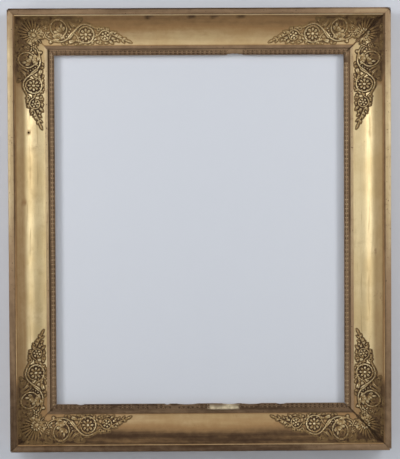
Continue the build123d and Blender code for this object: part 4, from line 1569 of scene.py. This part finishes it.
for side in SIDES:
    strip = join(f"gilded_leaf_row_{side.name}", [leaf_row(side), leaf_ridge(side)])
    smooth(strip, STRIP_CREASE)
    settle(strip, "gilded_leaf_strip", strip_finish, f"leaf_strip_{side.name}")
    print(strip.name, len(strip.data.polygons), "faces")

# %% [markdown]
# ## Wood and metal at the back
# The pieces behind are right as CAD made them and keep their shapes, with finishes of their own. Pine has
# its grain along each board: noise squeezed across the grain and stretched along it. The keys and pegs are
# a darker wood. Steel is dull with spots of rust, and the brass turn buttons have browned.

# %% Wood and metal finishes
GRAIN_SQUEEZE = 14
STAIN_SHARE = 0.5
WOOD_BUMP, METAL_BUMP, METAL_BUMP_STRENGTH = 0.5 * MM, 0.12 * MM, 0.4


def timber(name, light, dark, along):
    """Plain wood with its grain along one axis."""
    finish = Finish(name)
    squeezed = finish.stretched(tuple(1 if axis == along else GRAIN_SQUEEZE for axis in "XYZ"))
    grain = finish.noise(9, detail=6, roughness=0.6, distortion=0.4, place=squeezed)
    fibre = finish.noise(120, detail=3, place=squeezed)
    stain = finish.noise(6, detail=5, roughness=0.7)
    colour = finish.mix(finish.step(grain, 0.35, 0.65), light, dark)
    colour = finish.mix(finish.times(finish.step(stain, 0.5, 0.75), STAIN_SHARE), colour, DIRT_AND_SHADE_COLOUR)
    finish.set("Base Color", colour)
    finish.set("Roughness", finish.step(fibre, 0.3, 0.7, 0.72, 0.9))
    finish.bump(finish.plus(grain, finish.times(fibre, 0.4)), WOOD_BUMP, BUMP_STRENGTH)
    return finish.material


def old_metal(name, clean, tarnish, share):
    """Metal with a tarnish that gathers in patches."""
    finish = Finish(name)
    patch = finish.noise(160, detail=6, roughness=0.65)
    fine = finish.noise(1400, detail=2)
    cover = finish.step(patch, 0.62 - share, 0.78 - share)
    finish.set("Base Color", finish.mix(cover, clean, tarnish))
    finish.set("Metallic", finish.step(cover, 0, 1, 0.6, 0.2))
    finish.set("Roughness", finish.step(cover, 0, 1, 0.36, 0.7))
    finish.bump(finish.plus(patch, fine), METAL_BUMP, METAL_BUMP_STRENGTH)
    return finish.material


DARK_PINE = shade(150, 112, 70)
WALNUT_LIGHT, WALNUT_DARK = shade(128, 92, 58), shade(88, 60, 38)
back_finishes = {
    "base_rail": timber("pine_rails", PINE, DARK_PINE, "X"),
    "base_stile": timber("pine_stiles", PINE, DARK_PINE, "Z"),
    "mitre_keys": timber("key_wood_keys", WALNUT_LIGHT, WALNUT_DARK, "X"),
    "lap_pegs": timber("key_wood_pegs", WALNUT_LIGHT, WALNUT_DARK, "Y"),
    "hanger": old_metal("dull_steel", shade(168, 166, 162), shade(104, 76, 56), 0.06),
    "turn_button": old_metal("browned_brass", shade(200, 166, 98), shade(112, 84, 50), 0.08),
}
for name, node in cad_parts.items():
    for first_words, material in back_finishes.items():
        if name.startswith(first_words):
            node.data.materials.clear()
            node.data.materials.append(material)
print("CAD nodes with a finish of their own:", sum(not node.hide_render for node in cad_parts.values()))

# %% [markdown]
# ## Clearing up
# The motifs and castings have done their work and leave the bench. They could be hidden, but it is safer to
# remove them, so that nothing of them can be rendered or exported with the frame.

# %% Clear the bench
for spare in (dome, leaf, arm_casting, palmette_casting, cracked_casting):
    bpy.data.objects.remove(spare)
